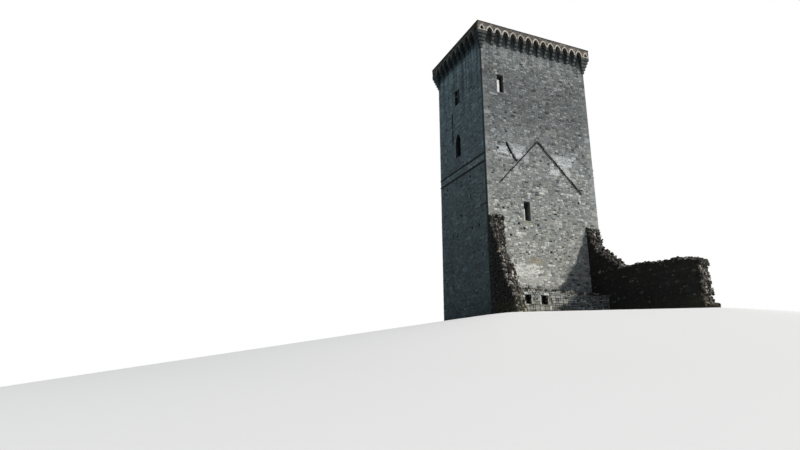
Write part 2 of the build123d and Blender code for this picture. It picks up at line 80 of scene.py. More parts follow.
# %% Planes of the tower
HALF_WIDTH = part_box("front_wall_hall")[1].x
HALF_DEPTH = -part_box("front_wall_hall")[0].y
CORBEL_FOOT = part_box("front_corbels")[0].z
CROWN_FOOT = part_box("front_arcade")[0].z
WALK_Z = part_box("parapet")[0].z
COPING_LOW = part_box("parapet_coping")[0].z
COPING_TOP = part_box("parapet_coping")[1].z
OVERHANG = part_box("parapet")[1].x - HALF_WIDTH


class Plane:
    """A flat frame with an origin and the directions u, v and n."""

    def __init__(self, origin, u, v, n):
        self.origin, self.u, self.v, self.n = (np.array(a, float) for a in (origin, u, v, n))

    def place(self, points):
        """Turn points given in u, v and n into the row's frame."""
        return self.origin + points @ np.stack([self.u, self.v, self.n])

    def moved(self, out):
        """The same frame, further out of the wall."""
        return Plane(self.origin + out * self.n, self.u, self.v, self.n)


UP = (0, 0, 1)
FACES = {
    "front": (Plane((0, -HALF_DEPTH, 0), (1, 0, 0), UP, (0, -1, 0)), HALF_WIDTH),
    "right": (Plane((HALF_WIDTH, 0, 0), (0, 1, 0), UP, (1, 0, 0)), HALF_DEPTH),
    "back": (Plane((0, HALF_DEPTH, 0), (-1, 0, 0), UP, (0, 1, 0)), HALF_WIDTH),
    "left": (Plane((-HALF_WIDTH, 0, 0), (0, -1, 0), UP, (-1, 0, 0)), HALF_DEPTH),
}
print("tower %.1f by %.1f m, coping at %.2f m" % (2 * HALF_WIDTH, 2 * HALF_DEPTH, COPING_TOP))

# %% [markdown]
# ## Colours and nodes
# Colours are written as sRGB hex, the way a painter's chart gives them, and one function turns them to the
# linear values that Blender computes with. A second small function adds a shader node with its settings and
# links. Where a node is given as a value, it stands for the first of its outputs that is in use.

# %% Colour and node helpers
MILLIMETRE = 0.001
STONE_IOR = 1.5


def linear(code):
    """An sRGB hex colour as linear red, green, blue and alpha."""
    parts = [int(code[i : i + 2], 16) / 255 for i in (1, 3, 5)]
    return (*[c / 12.92 if c <= 0.04045 else ((c + 0.055) / 1.055) ** 2.4 for c in parts], 1.0)


def feed(tree, socket, value):
    """Set a socket to a value, or link it to another socket or to a node."""
    if isinstance(value, bpy.types.Node):
        value = next(output for output in value.outputs if output.enabled)
    if isinstance(value, bpy.types.NodeSocket):
        tree.links.new(value, socket)
    else:
        socket.default_value = value


def add(tree, kind, *values, **named):
    """A node of that kind. Values go to the inputs in use, in order, and names are of inputs or settings."""
    node = tree.nodes.new(kind if kind.startswith("NodeGroup") else "ShaderNode" + kind)
    inputs = [name for name in named if name in node.inputs]
    for name, value in named.items():
        if name not in inputs:
            setattr(node, name, value)
    for socket, value in zip([s for s in node.inputs if s.enabled], values):
        feed(tree, socket, value)
    for name in inputs:
        feed(tree, node.inputs[name], named[name])
    return node


def cycles_per_metre(size_mm):
    """The scale of a noise or wave whose features are that many millimetres across."""
    return 1 / (size_mm * MILLIMETRE)


def set_stops(ramp, stops):
    """Fill a colour ramp from pairs of place and hex colour, and give it back."""
    elements = ramp.color_ramp.elements
    while len(elements) < len(stops):
        elements.new(0.5)
    for element, (place, code) in zip(elements, stops):
        element.position = place
        element.color = linear(code)
    return ramp


def new_material(name):
    """A material, its tree, and the object coordinates that its patterns use."""
    material = bpy.data.materials.new(name)
    material.use_nodes = True
    return material, material.node_tree, add(material.node_tree, "TexCoord").outputs["Object"]


def surfaced(material, color, relief, bump_mm, strength, roughness, specular=0.5):
    """The material, once its shader has its colour, relief and gloss."""
    tree = material.node_tree
    bump = add(tree, "Bump", Height=relief, Distance=bump_mm * MILLIMETRE, Strength=strength)
    finish = {"Base Color": color, "Normal": bump, "Roughness": roughness, "IOR": STONE_IOR,
              "Specular IOR Level": specular}
    for name, value in finish.items():
        feed(tree, tree.nodes["Principled BSDF"].inputs[name], value)
    return material


# %% [markdown]
# ## Five hundred years of weather, and painted light and shade
# Rain runs off the crown and leaves long dark streaks, lime washes out in pale smears, and the left side
# never dries. Light and shade are painted in as well: the colour is lighter near the foot and darker and
# bluer higher up, and painted shade darkens the shaded left side, the reveals, the crown and the old roof
# line.
# Stone and mortar share all this, so it is two node groups that the masonry finishes pass through. They read
# object coordinates, which here are the row's own metres, so a streak crosses stones and joints alike.

# %% What the weather left, the painted light and shade, and where
STREAK_WIDTH = 420
STREAK_LENGTH = 9000
DAMP_STREAK_WIDTH = 550
DAMP_STREAK_LENGTH = 14000
BLOTCH = 2600
PLASTER_EDGE = 500
EDGE_FLATTENED = 2.2
# Metres up, and the colour that multiplies the masonry there. On the dry faces it is painted light, lighter
# near the foot and darker and bluer higher up; on the left side it is wet stone and painted shade together
DRY_FACES_PAINTED_LIGHT = [(0.0, "#f4f4f2"), (6.0, "#f4f5f4"), (10.0, "#e2e5e6"), (16.7, "#c5cad0"), (22.0, "#9ca1a7"),
              (26.5, "#a9aeb3"), (30.0, "#a0a5a8")]
DAMP_SIDE_WET_AND_SHADE = [(0.0, "#7b8c90"), (7.0, "#83979b"), (15.5, "#95a9b0"), (23.0, "#9ab4be"), (30.0, "#9ab4be")]
DAMP_TONE = "#a2a5a3"
DAMP_SHARE = 0.2
PLASTER_PATCHES = [
    # centre x, centre z, half width, half height, strength
    (-4.75, 16.7, 0.62, 0.42, 0.95),
    (-4.5, 15.95, 0.85, 0.1, 0.7),
    (-3.0, 17.3, 0.95, 0.3, 0.6),
    (-3.0, 16.8, 0.6, 0.35, 0.9),
    (-3.0, 16.25, 0.3, 0.3, 0.8),
    (-1.9, 16.2, 0.3, 0.5, 0.55),
    (-3.2, 14.8, 0.35, 0.5, 0.5),
    (-4.4, 14.0, 0.4, 0.3, 0.35),
    (2.6, 16.85, 1.3, 0.28, 0.85),
    (2.85, 16.3, 1.05, 0.28, 0.95),
    (2.85, 15.75, 0.55, 0.24, 0.75),
    (3.2, 15.2, 0.45, 0.3, 0.8),
    (3.9, 14.5, 0.45, 0.3, 0.65),
    (1.3, 15.8, 0.3, 0.3, 0.7),
    (1.6, 15.15, 0.55, 0.34, 0.95),
    (4.55, 12.7, 0.13, 0.7, 0.6),
    (-2.6, 4.5, 1.45, 0.62, 0.7),
    (-2.0, 3.6, 1.8, 0.5, 0.35),
]
OCHRE_PATCHES = [(-1.5, 5.5, 0.8, 0.3, 0.25), (-2.2, 9.3, 0.5, 0.16, 0.4)]
PLASTER_FLAKE = 400
FLAKE_HEIGHT = 150
PATCH_RAGGED = 0.9
PATCH_EDGE = (1.52, 1.4)
# The step of the old roof line, whose notches and their edges get painted shadow: its two ends, in x and z
SHADOWED_SEAM = ((-4.31, 17.62), (-3.14, 15.68))
SEAM_HALF = 0.3
SEAM_SOLID = 0.85
# Places on the left side: where along it the gutters of the crown have run, its slits, and the heights of its
# string courses
RUN_OFFS = (2.3, -0.9, -1.7, -2.8)
SLITS_ALONG = 1.63
SLITS_FROM = (19.7, 23.3)
LEDGES = (15.26, 16.14)
BETWEEN_LEDGES = 15.78
# Half the width of each of these bands, and its strength: stains for the run-off and the slits, painted shade
# along the string courses and the front corner, and a paler band between the string courses
RUN_OFF_STAIN = (0.17, 0.45)
SLIT_STAIN = (0.24, 0.8)
LEDGE_SHADE = (0.17, 0.8)
CORNER_SHADE = (0.3, 0.9)
LEDGE_PALE = (0.5, 0.25)
STAIN_CORE = 0.4
# Where a mask starts and ends, measured from a face or a corner of the tower
FACE_BAND = 0.25
DAMP_EDGE = (0.1, 0.02)
CROWN_EDGE = (0.04, 0.1)
REVEAL_REACH = 0.8
# A range of depth, height or noise, and what it turns into at its two ends, which are 0 and 1 if not given
# Painted shade in the reveals: how the colour darkens with depth behind the faces, more on the left side
REVEAL_SHADE = (0.04, 0.15, 1.0, 0.5)
LEFT_REVEAL_SHADE = (0.01, 0.06, 1.0, 0.1)
RUN_OFF_RISE = (22.8, 25.0)
SLIT_RISE = (SLITS_FROM[0] - 0.2, SLITS_FROM[0])
# Painted shade of the crown on the left side, which the sun doesn't reach
DAMP_SIDE_CROWN_SHADE = (CORBEL_FOOT - 0.5, CORBEL_FOOT + 0.4)
DAMP_STREAKS = (0.4, 0.6, -0.3, 0.25)
DAMP_STREAK_RISE = (20.0, 26.5, 0.12, 1.0)
STREAKS = (0.42, 0.62)
UNDER_CROWN = (22.0, CROWN_FOOT - 0.6, 0.0, 0.24)
LIME_BAND = (CORBEL_FOOT - 2.4, CORBEL_FOOT - 0.7)
LIME_RUNS = (0.85, 0.2, 0.0, 0.26)
# Grime of the crown and painted shade under its overhang, round the foot of the corbels
CROWN_GRIME_AND_SHADE = (CORBEL_FOOT - 0.2, CORBEL_FOOT + 0.5, 0.0, 0.62)
BLOTCHES = (0.3, 0.7, 0.82, 1.16)
FALLEN_FLAKES = (0.15, 0.65, 0.4, 1.0)
ALGAE_FOOT = (1.4, 0.0, 0.0, 0.7)
print("patches of plaster:", len(PLASTER_PATCHES))


# %% Masks of the tower's faces
def on_front(tree, position, value):
    """A value on the front face of the tower, and nothing elsewhere."""
    depth = add(tree, "SeparateXYZ", position).outputs["Y"]
    near = add(tree, "Math", depth, FACE_BAND - HALF_DEPTH, operation="LESS_THAN")
    off_wing = add(tree, "Math", depth, -FACE_BAND - HALF_DEPTH, operation="GREATER_THAN")
    here = add(tree, "Math", near, off_wing, operation="MULTIPLY")
    return add(tree, "Math", value, here, operation="MULTIPLY")


def patch_mask(tree, position, ragged, patches):
    """Patches of the front face whose edges are broken up by a ragged value."""
    total = None
    for x, z, half_x, half_z, strength in patches:
        spread = add(tree, "VectorMath", position, (x, -HALF_DEPTH, z), operation="SUBTRACT")
        shrunk = add(tree, "VectorMath", spread, (1 / half_x, 0, 1 / half_z), operation="MULTIPLY")
        sides = add(tree, "SeparateXYZ", add(tree, "VectorMath", shrunk, operation="ABSOLUTE"))
        reach = add(tree, "Math", sides.outputs["X"], sides.outputs["Z"], operation="MAXIMUM")
        rough = add(tree, "Math", ragged, PATCH_RAGGED, reach, operation="MULTIPLY_ADD")
        patch = add(tree, "MapRange", rough, *PATCH_EDGE, 0.0, strength)
        total = patch if total is None else add(tree, "Math", total, patch, operation="MAXIMUM")
    return on_front(tree, position, total)


def seam_mask(tree, position, ragged, ends, half):
    """A ragged band of the front face along a line between two ends, given in x and z."""
    (x, z), (far_x, far_z) = ends
    length = math.hypot(far_x - x, far_z - z)
    run, rise = (far_x - x) / length, (far_z - z) / length
    middle = ((x + far_x) / 2, -HALF_DEPTH, (z + far_z) / 2)
    spread = add(tree, "VectorMath", position, middle, operation="SUBTRACT")
    reaches = []
    for direction in ((rise, 0, -run), (run, 0, rise)):
        dot = add(tree, "VectorMath", spread, direction, operation="DOT_PRODUCT")
        reaches.append(add(tree, "Math", dot, operation="ABSOLUTE"))
    rough = add(tree, "Math", ragged, half, reaches[0], operation="MULTIPLY_ADD")
    side = add(tree, "MapRange", rough, half, half * SEAM_SOLID)
    within = add(tree, "Math", reaches[1], length / 2, operation="LESS_THAN")
    return on_front(tree, position, add(tree, "Math", side, within, operation="MULTIPLY"))


def damp_and_shaded_side(tree, axes):
    """A mask of the left side: its face and what stands out from it, and the reveals cut into it."""
    out = add(tree, "MapRange", axes.outputs["X"], *(edge - HALF_WIDTH for edge in DAMP_EDGE))
    crown_face = -HALF_DEPTH - OVERHANG
    behind = add(tree, "MapRange", axes.outputs["Y"], *(crown_face + edge for edge in CROWN_EDGE))
    return add(tree, "Math", out, behind, operation="MULTIPLY")


def painted_inside_shade(tree, axes):
    """Painted shade that deepens with the depth behind the faces, in the reveals, and more on the left."""
    depths = []
    for axis, half in (("X", HALF_WIDTH), ("Y", HALF_DEPTH)):
        away = add(tree, "Math", axes.outputs[axis], operation="ABSOLUTE")
        depths.append(add(tree, "Math", half, away, operation="SUBTRACT"))
    depth = add(tree, "Math", *depths, operation="MINIMUM")
    shallow_shade, black = (add(tree, "MapRange", depth, *span) for span in (REVEAL_SHADE, LEFT_REVEAL_SHADE))
    left = add(tree, "Math", axes.outputs["X"], REVEAL_REACH - HALF_WIDTH, operation="LESS_THAN")
    return add(tree, "Mix", left, shallow_shade, black)


def height_shade(tree, height, shades):
    """A colour that goes with the height."""
    top = shades[-1][0]
    share = add(tree, "Math", height, top, operation="DIVIDE")
    return set_stops(add(tree, "ValToRGB", share), [(z / top, code) for z, code in shades])


def color_group(name):
    """An empty node group that takes a colour and gives one."""
    tree = bpy.data.node_groups.new(name, "ShaderNodeTree")
    for way in ("INPUT", "OUTPUT"):
        tree.interface.new_socket("Color", in_out=way, socket_type="NodeSocketColor")
    return tree, add(tree, "NodeGroupInput"), add(tree, "TexCoord").outputs["Object"]


# %% The damp and shade group
def band(tree, value, middle, half, strength):
    """A factor that sinks by a strength within a band of a value."""
    away = add(tree, "Math", value, middle, operation="SUBTRACT")
    away = add(tree, "Math", away, operation="ABSOLUTE")
    return add(tree, "MapRange", away, half, half * STAIN_CORE, 0.0, strength)


def wet_side_stains_and_shade(tree, axes):
    """Stains of gutters and slits, and painted shade at the ledges and the corner, as one factor."""
    along, height = axes.outputs["Y"], axes.outputs["Z"]
    high = add(tree, "MapRange", height, *RUN_OFF_RISE)
    slits = add(tree, "MapRange", height, *SLIT_RISE)
    below = add(tree, "Math", height, SLITS_FROM[1], operation="LESS_THAN")
    slits = add(tree, "Math", slits, below, operation="MULTIPLY")
    stains_and_shades = [(band(tree, along, y, *RUN_OFF_STAIN), high) for y in RUN_OFFS]
    stains_and_shades.append((band(tree, along, SLITS_ALONG, *SLIT_STAIN), slits))
    stains_and_shades += [(band(tree, height, z, *LEDGE_SHADE), 1.0) for z in LEDGES]
    stains_and_shades.append((band(tree, along, -HALF_DEPTH, *CORNER_SHADE), 1.0))
    total = None
    for darkening, where in stains_and_shades:
        darkening = add(tree, "Math", darkening, where, operation="MULTIPLY")
        total = darkening if total is None else add(tree, "Math", total, darkening, operation="MAXIMUM")
    clean_and_unshaded = add(tree, "Math", 1.0, total, operation="SUBTRACT")
    pale = add(tree, "Math", band(tree, height, BETWEEN_LEDGES, *LEDGE_PALE), 1.0, operation="ADD")
    return add(tree, "Math", clean_and_unshaded, pale, operation="MULTIPLY")


def damp_and_shade_group():
    """The left side, wet and in shade: streaks, stains, and painted shade on its crown, ledges and corner."""
    tree, inside, place = color_group("damp_and_shaded_side")
    axes = add(tree, "SeparateXYZ", place)
    # Painted shade: the left side's crown dark and blue-grey
    crown = add(tree, "MapRange", axes.outputs["Z"], *DAMP_SIDE_CROWN_SHADE)
    crown_shade = add(tree, "Mix", crown, linear("#ffffff"), linear("#7a8587"), data_type="RGBA")
    squeeze = (1, 1, DAMP_STREAK_WIDTH / DAMP_STREAK_LENGTH)
    stretched = add(tree, "VectorMath", place, squeeze, operation="MULTIPLY")
    streak = add(tree, "TexNoise", Vector=stretched, Detail=3.0, Scale=cycles_per_metre(DAMP_STREAK_WIDTH))
    streak = add(tree, "MapRange", streak, *DAMP_STREAKS)
    high = add(tree, "MapRange", axes.outputs["Z"], *DAMP_STREAK_RISE)
    streak = add(tree, "Math", streak, high, 1.0, operation="MULTIPLY_ADD")
    shaded = inside
    for factor in (crown_shade, streak, wet_side_stains_and_shade(tree, axes)):
        shaded = add(tree, "VectorMath", shaded, factor, operation="MULTIPLY")
    add(tree, "NodeGroupOutput", add(tree, "Mix", damp_and_shaded_side(tree, axes), inside, shaded, data_type="RGBA"))
    return tree


DAMP_AND_SHADE = damp_and_shade_group()
print("damp nodes:", len(DAMP_AND_SHADE.nodes))


# %% The weather and painted light group
def weather_and_light_group():
    """Streaks, lime wash, blotches, plaster and algae on a colour, and painted light and shade over them."""
    tree, inside, place = color_group("weather_and_painted_light")
    axes = add(tree, "SeparateXYZ", place)
    height = axes.outputs["Z"]

    long_way = STREAK_WIDTH / STREAK_LENGTH
    stretched = add(tree, "VectorMath", place, (1, 1, long_way), operation="MULTIPLY")
    streak = add(tree, "TexNoise", Vector=stretched, Scale=cycles_per_metre(STREAK_WIDTH), Detail=3.0,
                 Roughness=0.55)
    streak = add(tree, "MapRange", streak, *STREAKS)
    dark = add(tree, "Math", streak, add(tree, "MapRange", height, *UNDER_CROWN), operation="MULTIPLY")
    lime = add(tree, "Math", add(tree, "MapRange", height, *LIME_BAND),
               add(tree, "MapRange", streak, *LIME_RUNS), operation="MULTIPLY")
    # Grime and painted shade round the foot of the corbels, under the overhang
    crown = add(tree, "MapRange", height, *CROWN_GRIME_AND_SHADE)
    color = inside
    for share, code in ((dark, "#4a4d47"), (lime, "#e3e6e0"), (crown, "#4b504c")):
        color = add(tree, "Mix", share, color, linear(code), data_type="RGBA")

    blotch = add(tree, "TexNoise", Vector=place, Scale=cycles_per_metre(BLOTCH), Detail=4.0, Roughness=0.6)
    color = add(tree, "VectorMath", color, add(tree, "MapRange", blotch, *BLOTCHES), operation="MULTIPLY")

    flat = add(tree, "VectorMath", place, (1, 1, EDGE_FLATTENED), operation="MULTIPLY")
    edge = add(tree, "TexNoise", Vector=flat, Scale=cycles_per_metre(PLASTER_EDGE), Detail=5.0,
               Roughness=0.65)
    squat = add(tree, "VectorMath", place, (1, 1, PLASTER_FLAKE / FLAKE_HEIGHT), operation="MULTIPLY")
    flakes = add(tree, "TexVoronoi", Vector=squat, Scale=cycles_per_metre(PLASTER_FLAKE), Randomness=0.8,
                 distance="CHEBYCHEV")
    flake = add(tree, "SeparateColor", flakes.outputs["Color"])
    ragged = add(tree, "Math", edge, 0.5, operation="MULTIPLY")
    ragged = add(tree, "Math", flake, 0.5, ragged, operation="MULTIPLY_ADD")
    fallen = add(tree, "MapRange", flake.outputs["Green"], *FALLEN_FLAKES)
    plaster = patch_mask(tree, place, ragged, PLASTER_PATCHES)
    plaster = add(tree, "Math", plaster, fallen, operation="MULTIPLY")
    ochre = patch_mask(tree, place, ragged, OCHRE_PATCHES)
    # Painted shadow in the stepped notches of the old roof line
    seam_shadow = seam_mask(tree, place, ragged, SHADOWED_SEAM, SEAM_HALF)
    algae = add(tree, "Math", add(tree, "MapRange", height, *ALGAE_FOOT), edge, operation="MULTIPLY")
    layers = ((plaster, "#e6e5df"), (ochre, "#a3926f"), (seam_shadow, "#1d1d1b"), (algae, "#5c5a44"))
    for share, code in layers:
        color = add(tree, "Mix", share, color, linear(code), data_type="RGBA")

    # Painted light by height on the dry faces; wet stone and painted shade on the left side
    height_lit = add(tree, "VectorMath", color, height_shade(tree, height, DRY_FACES_PAINTED_LIGHT), operation="MULTIPLY")
    soaked = add(tree, "Mix", DAMP_SHARE, color, linear(DAMP_TONE), data_type="RGBA")
    wet_and_shaded = add(tree, "VectorMath", soaked, height_shade(tree, height, DAMP_SIDE_WET_AND_SHADE), operation="MULTIPLY")
    color = add(tree, "Mix", damp_and_shaded_side(tree, axes), height_lit, wet_and_shaded, data_type="RGBA")
    # Painted shade in the reveals and inside the walls, by depth
    color = add(tree, "VectorMath", color, painted_inside_shade(tree, axes), operation="MULTIPLY")
    add(tree, "NodeGroupOutput", color)
    return tree


WEATHER_AND_LIGHT = weather_and_light_group()


def aged_and_shaded(tree, color, weathered):
    """A colour after weathering and painted light, if out in it, then the left side's stains and shade."""
    for group_tree in (WEATHER_AND_LIGHT, DAMP_AND_SHADE) if weathered else (DAMP_AND_SHADE,):
        color = add(tree, "Group", color, node_tree=group_tree)
    return color


print("weather nodes:", len(WEATHER_AND_LIGHT.nodes))

# %% [markdown]
# ## Sandstone rubble
# The faces are coursed rubble: split sandstone, hammer-dressed at best. Split stone has no polish at all,
# so its roughness is near 0.9 and its IOR the 1.5 of quartz. Each stone comes from another bed of the
# quarry, so every stone carries a tone from the mesh, and a ramp turns tones into colours: mostly warm
# grey, a few dark, a few pale.

# %% Stone finishes
GRAIN = 6
PIT = 45
GRAIN_SHARE = 0.15
MOTTLE = 140
MOTTLE_SHIFT = 1.1
BED = 700
BED_HEIGHT = 260
BED_SHIFT = 0.35
LEAST_TONE = 0.02
CAST_TURNS = 37.0
CASTS = [(0.0, "#ffffff"), (0.3, "#fdfbf6"), (0.5, "#f9f4ea"), (0.7, "#f8fafb"), (1.0, "#f0f5f7")]


def evenly(*codes):
    """Stops of a ramp, the same way apart."""
    return [(i / (len(codes) - 1), code) for i, code in enumerate(codes)]


def stone_material(name, stops, roughness=0.9, weathered=True, bump_mm=9.0, stone_mm=380):
    """Split or dressed stone. Its tone comes with each laid stone, or on a solid from cells of that size."""
    material, tree, place = new_material(name)
    laid = add(tree, "Attribute", attribute_name="tone", attribute_type="GEOMETRY").outputs["Fac"]
    cells = add(tree, "TexVoronoi", Vector=place, Scale=cycles_per_metre(stone_mm), distance="CHEBYCHEV")
    cell = add(tree, "SeparateColor", cells.outputs["Color"])
    solid = add(tree, "Math", laid, LEAST_TONE / 2, operation="LESS_THAN")
    tone = add(tree, "Math", solid, cell, laid, operation="MULTIPLY_ADD")
    mottle = add(tree, "TexNoise", Vector=place, Scale=cycles_per_metre(MOTTLE), Detail=6.0, Roughness=0.65)
    shift = add(tree, "Math", mottle, MOTTLE_SHIFT, tone, operation="MULTIPLY_ADD")
    flat = add(tree, "VectorMath", place, (1, 1, BED / BED_HEIGHT), operation="MULTIPLY")
    bed = add(tree, "TexNoise", Vector=flat, Scale=cycles_per_metre(BED), Detail=3.0, Roughness=0.6)
    shift = add(tree, "Math", bed, BED_SHIFT, shift, operation="MULTIPLY_ADD")
    shift = add(tree, "Math", shift, (MOTTLE_SHIFT + BED_SHIFT) / 2, operation="SUBTRACT")
    turn = add(tree, "Math", tone, CAST_TURNS, operation="MULTIPLY")
    turn = add(tree, "Math", turn, operation="FRACT")
    color = add(tree, "VectorMath", set_stops(add(tree, "ValToRGB", shift), stops),
                set_stops(add(tree, "ValToRGB", turn), CASTS), operation="MULTIPLY")
    pits = add(tree, "TexNoise", Vector=place, Scale=cycles_per_metre(PIT), Detail=8.0, Roughness=0.7)
    grains = add(tree, "TexNoise", Vector=place, Scale=cycles_per_metre(GRAIN), Detail=2.0)
    relief = add(tree, "Math", grains, GRAIN_SHARE, pits, operation="MULTIPLY_ADD")
    return surfaced(material, aged_and_shaded(tree, color, weathered), relief, bump_mm, 0.8, roughness, 0.3)


RUBBLE = stone_material("split_sandstone_rubble", [
    (0.0, "#2a2b29"), (0.12, "#5a5b58"), (0.25, "#7a7b77"), (0.45, "#939490"), (0.66, "#abaca7"),
    (0.82, "#c3c4be"), (1.0, "#dddcd7"),
])
DRESSED = stone_material("dressed_sandstone", [
    (0.0, "#6d6e69"), (0.4, "#979893"), (0.7, "#b6b6b0"), (0.9, "#d2d1ca"), (1.0, "#e9e7df"),
], bump_mm=5.0)
# Nearly black: painted shade on the inner faces of the torn hall walls
SHADED_HALL_RUBBLE = stone_material("shade_dark_hall_rubble", [
    (0.0, "#0c0e0d"), (0.4, "#161816"), (0.7, "#232422"), (0.88, "#3d3c37"), (1.0, "#6c6961"),
], bump_mm=12.0)
TORN_RUBBLE = stone_material("torn_rubble_core", [
    (0.0, "#080807"), (0.12, "#151412"), (0.32, "#2f2d2a"), (0.54, "#5c5851"), (0.76, "#918c85"),
    (1.0, "#bdb8b1"),
], bump_mm=14.0)
# Dark green-grey: rain stains, and painted shade of the corbels under the parapet
CORBEL_STONE = stone_material("stained_and_shaded_corbel_sandstone", evenly("#323631", "#4b5049", "#6b7069"),
                              bump_mm=6.0)
# Painted shade: drip and string stones as dark as their shaded undersides, the drips weathered too,
# and the window crosses dark blue-grey as in the shade of their recess
MOULDED, PARAPET_STONE, DRIP_STONE, STRING_STONE, REBATE_STONE, CROSS_STONE = (
    stone_material(name, evenly(*codes), weathered=False, bump_mm=bump_mm)
    for name, bump_mm, *codes in (
        ("moulded_limestone", 3.0, "#98938a", "#aca79e", "#c0bcb4"),
        ("brown_parapet_sandstone", 8.0, "#3b3733", "#59534d", "#78726a"),
        ("weathered_and_shaded_drip_stone", 8.0, "#1f1e1b", "#32312d", "#55544e"),
        ("shade_black_string_stone", 6.0, "#0c0e0e", "#161919", "#272b2a"),
        ("limewashed_rebate_stone", 4.0, "#b4b8ba", "#cbcfd1", "#dfe2e3"),
        ("shade_dark_cross_sandstone", 4.0, "#2b3033", "#3a4044", "#4b5257"),
    )
)
# Slates and flags are worn smooth, and a flag is larger than a stone of the walls
COPING_STONE = stone_material("lichened_coping_slate", evenly("#2c2d30", "#3d3e42", "#55565a"), roughness=0.8,
                              weathered=False, bump_mm=6.0)
PAVING = stone_material("foot_worn_flagstone", evenly("#5c5b56", "#787770", "#93918a"), roughness=0.8,
                        weathered=False, bump_mm=4.0, stone_mm=700)
print("finishes so far:", len(bpy.data.materials))

# %% [markdown]
# ## Lime mortar
# What shows between the stones is the bed the masons laid them in: lime and river sand, squeezed flush and
# since washed back by rain. Lime mortar is matt and paler than the stone, with sand grains of a few
# millimetres. The CAD walls are that bed, so they wear this finish and the stones stand a little proud of
# them.

# %% Mortar and timber finishes
SAND_GRAIN = 8
SAND_SHARE = 0.3
TROWEL = 220
MORTAR_STOPS = (0.35, 0.68)
OUTER_EDGE = (0.24, 0.16)
OAK_RING = 28
OAK_LENGTH = 1200
OAK_STOPS = (0.3, 0.7)
BOARD = 180
BOARD_GAP = 5


def mortar_material(name, low, high, outer=None):
    """Sandy lime mortar, mottled between two colours. The right side can have two of its own."""
    material, tree, place = new_material(name)
    smear = add(tree, "TexNoise", Vector=place, Scale=cycles_per_metre(TROWEL), Detail=8.0, Roughness=0.7)
    color = set_stops(add(tree, "ValToRGB", smear), list(zip(MORTAR_STOPS, (low, high))))
    if outer:
        clean_and_unshaded = set_stops(add(tree, "ValToRGB", smear), list(zip(MORTAR_STOPS, outer)))
        axes = add(tree, "SeparateXYZ", place)
        right = add(tree, "MapRange", axes.outputs["X"], *(HALF_WIDTH - edge for edge in OUTER_EDGE))
        color = add(tree, "Mix", right, color, clean_and_unshaded, data_type="RGBA")
    sand = add(tree, "TexNoise", Vector=place, Scale=cycles_per_metre(SAND_GRAIN), Detail=3.0)
    relief = add(tree, "Math", sand, SAND_SHARE, smear, operation="MULTIPLY_ADD")
    return surfaced(material, aged_and_shaded(tree, color, True), relief, 8, 0.7, 0.95, 0.2)


def oak_material(name, dark, light, board_mm=0):
    """Old oak, its grain along the timber. With a board width, the gaps between boards are drawn too."""
    material, tree, place = new_material(name)
    thin = OAK_RING / OAK_LENGTH
    squeeze = (thin, 1, 1) if board_mm else (1, thin, 1)
    stretched = add(tree, "VectorMath", place, squeeze, operation="MULTIPLY")
    grain = add(tree, "TexNoise", Vector=stretched, Scale=cycles_per_metre(OAK_RING), Detail=5.0,
                Roughness=0.6)
    color = set_stops(add(tree, "ValToRGB", grain), list(zip(OAK_STOPS, (dark, light))))
    relief = grain
    if board_mm:
        across = add(tree, "SeparateXYZ", place).outputs["Y"]
        turn = add(tree, "Math", across, board_mm * MILLIMETRE, operation="PINGPONG")
        gap = add(tree, "MapRange", turn, 0.0, BOARD_GAP * MILLIMETRE)
        color = add(tree, "Mix", gap, linear("#15100c"), color, data_type="RGBA")
        relief = add(tree, "Math", grain, gap, operation="ADD")
    return surfaced(material, color, relief, 4, 0.6, 0.75)


MORTAR = mortar_material("washed_lime_mortar", "#858581", "#adaba5")
# Nearly black on the torn walls as painted shade of their broken faces; the faced right side keeps lighter
# mortar
TORN_MORTAR = mortar_material("torn_core_mortar", "#131210", "#2c2822", outer=("#6f6f6b", "#9b9994"))
OAK_BEAM = oak_material("hewn_oak", "#2d2119", "#54402f")
OAK_BOARD = oak_material("sawn_oak_board", "#35281e", "#604a36", board_mm=BOARD)
print("finishes:", len(bpy.data.materials))

# %% [markdown]
# ## Finishes for the solids
# Every node of the frame keeps its own shape and gets the finish of what it is. The finishes go by the
# record's material slots. A solid has no tone stone by stone, so its finish takes one from cells of a
# stone's size.

# %% Assign the finishes
FINISH_OF_SLOT = {
    "rubble_masonry": MORTAR,
    "torn_masonry": TORN_MORTAR,
    "dressed_stone": CORBEL_STONE,
    "pale_stone": MOULDED,
    "parapet_masonry": PARAPET_STONE,
    "weathered_coping": COPING_STONE,
    "stone_paving": PAVING,
    "oak_beam": OAK_BEAM,
    "oak_board": OAK_BOARD,
}
FINISH_OF_NODE = {"window_crosses": CROSS_STONE}

slot_of_node = {s["node"]: s["material_slot"] for s in frame["record"]["subparts"]}
for node, solid in frame["nodes"].items():
    solid.data.materials.clear()
    solid.data.materials.append(FINISH_OF_NODE.get(node, FINISH_OF_SLOT[slot_of_node[node]]))
print("finished solids:", len(frame["nodes"]))

# %% [markdown]
# ## Openings, found in the walls themselves
# Stones must stop at every window, slit and scaffold hole. The openings are edges of the outer faces of the
# solids: an edge with a face on one side only is a border, and borders that link up are one opening. This
# finds them all, with the height where an arch springs, and nothing about the openings has to be typed
# again.

# %% Find the openings of each face
TOUCH = 0.001
LARGEST_OPENING = 2.0
WALL_NODES = sorted(n for n in frame["nodes"] if n.split("_wall_")[0] in FACES)


def to_plane(points, plane):
    """Points of the row's frame as u, v and n of a plane."""
    return (points - plane.origin) @ np.stack([plane.u, plane.v, plane.n]).T


def node_mesh(node):
    """The corners and triangles of a CAD node."""
    mesh = frame["nodes"][node].data
    mesh.calc_loop_triangles()
    corners = np.array([v.co for v in mesh.vertices], float)
    return corners, np.array([t.vertices for t in mesh.loop_triangles], int)


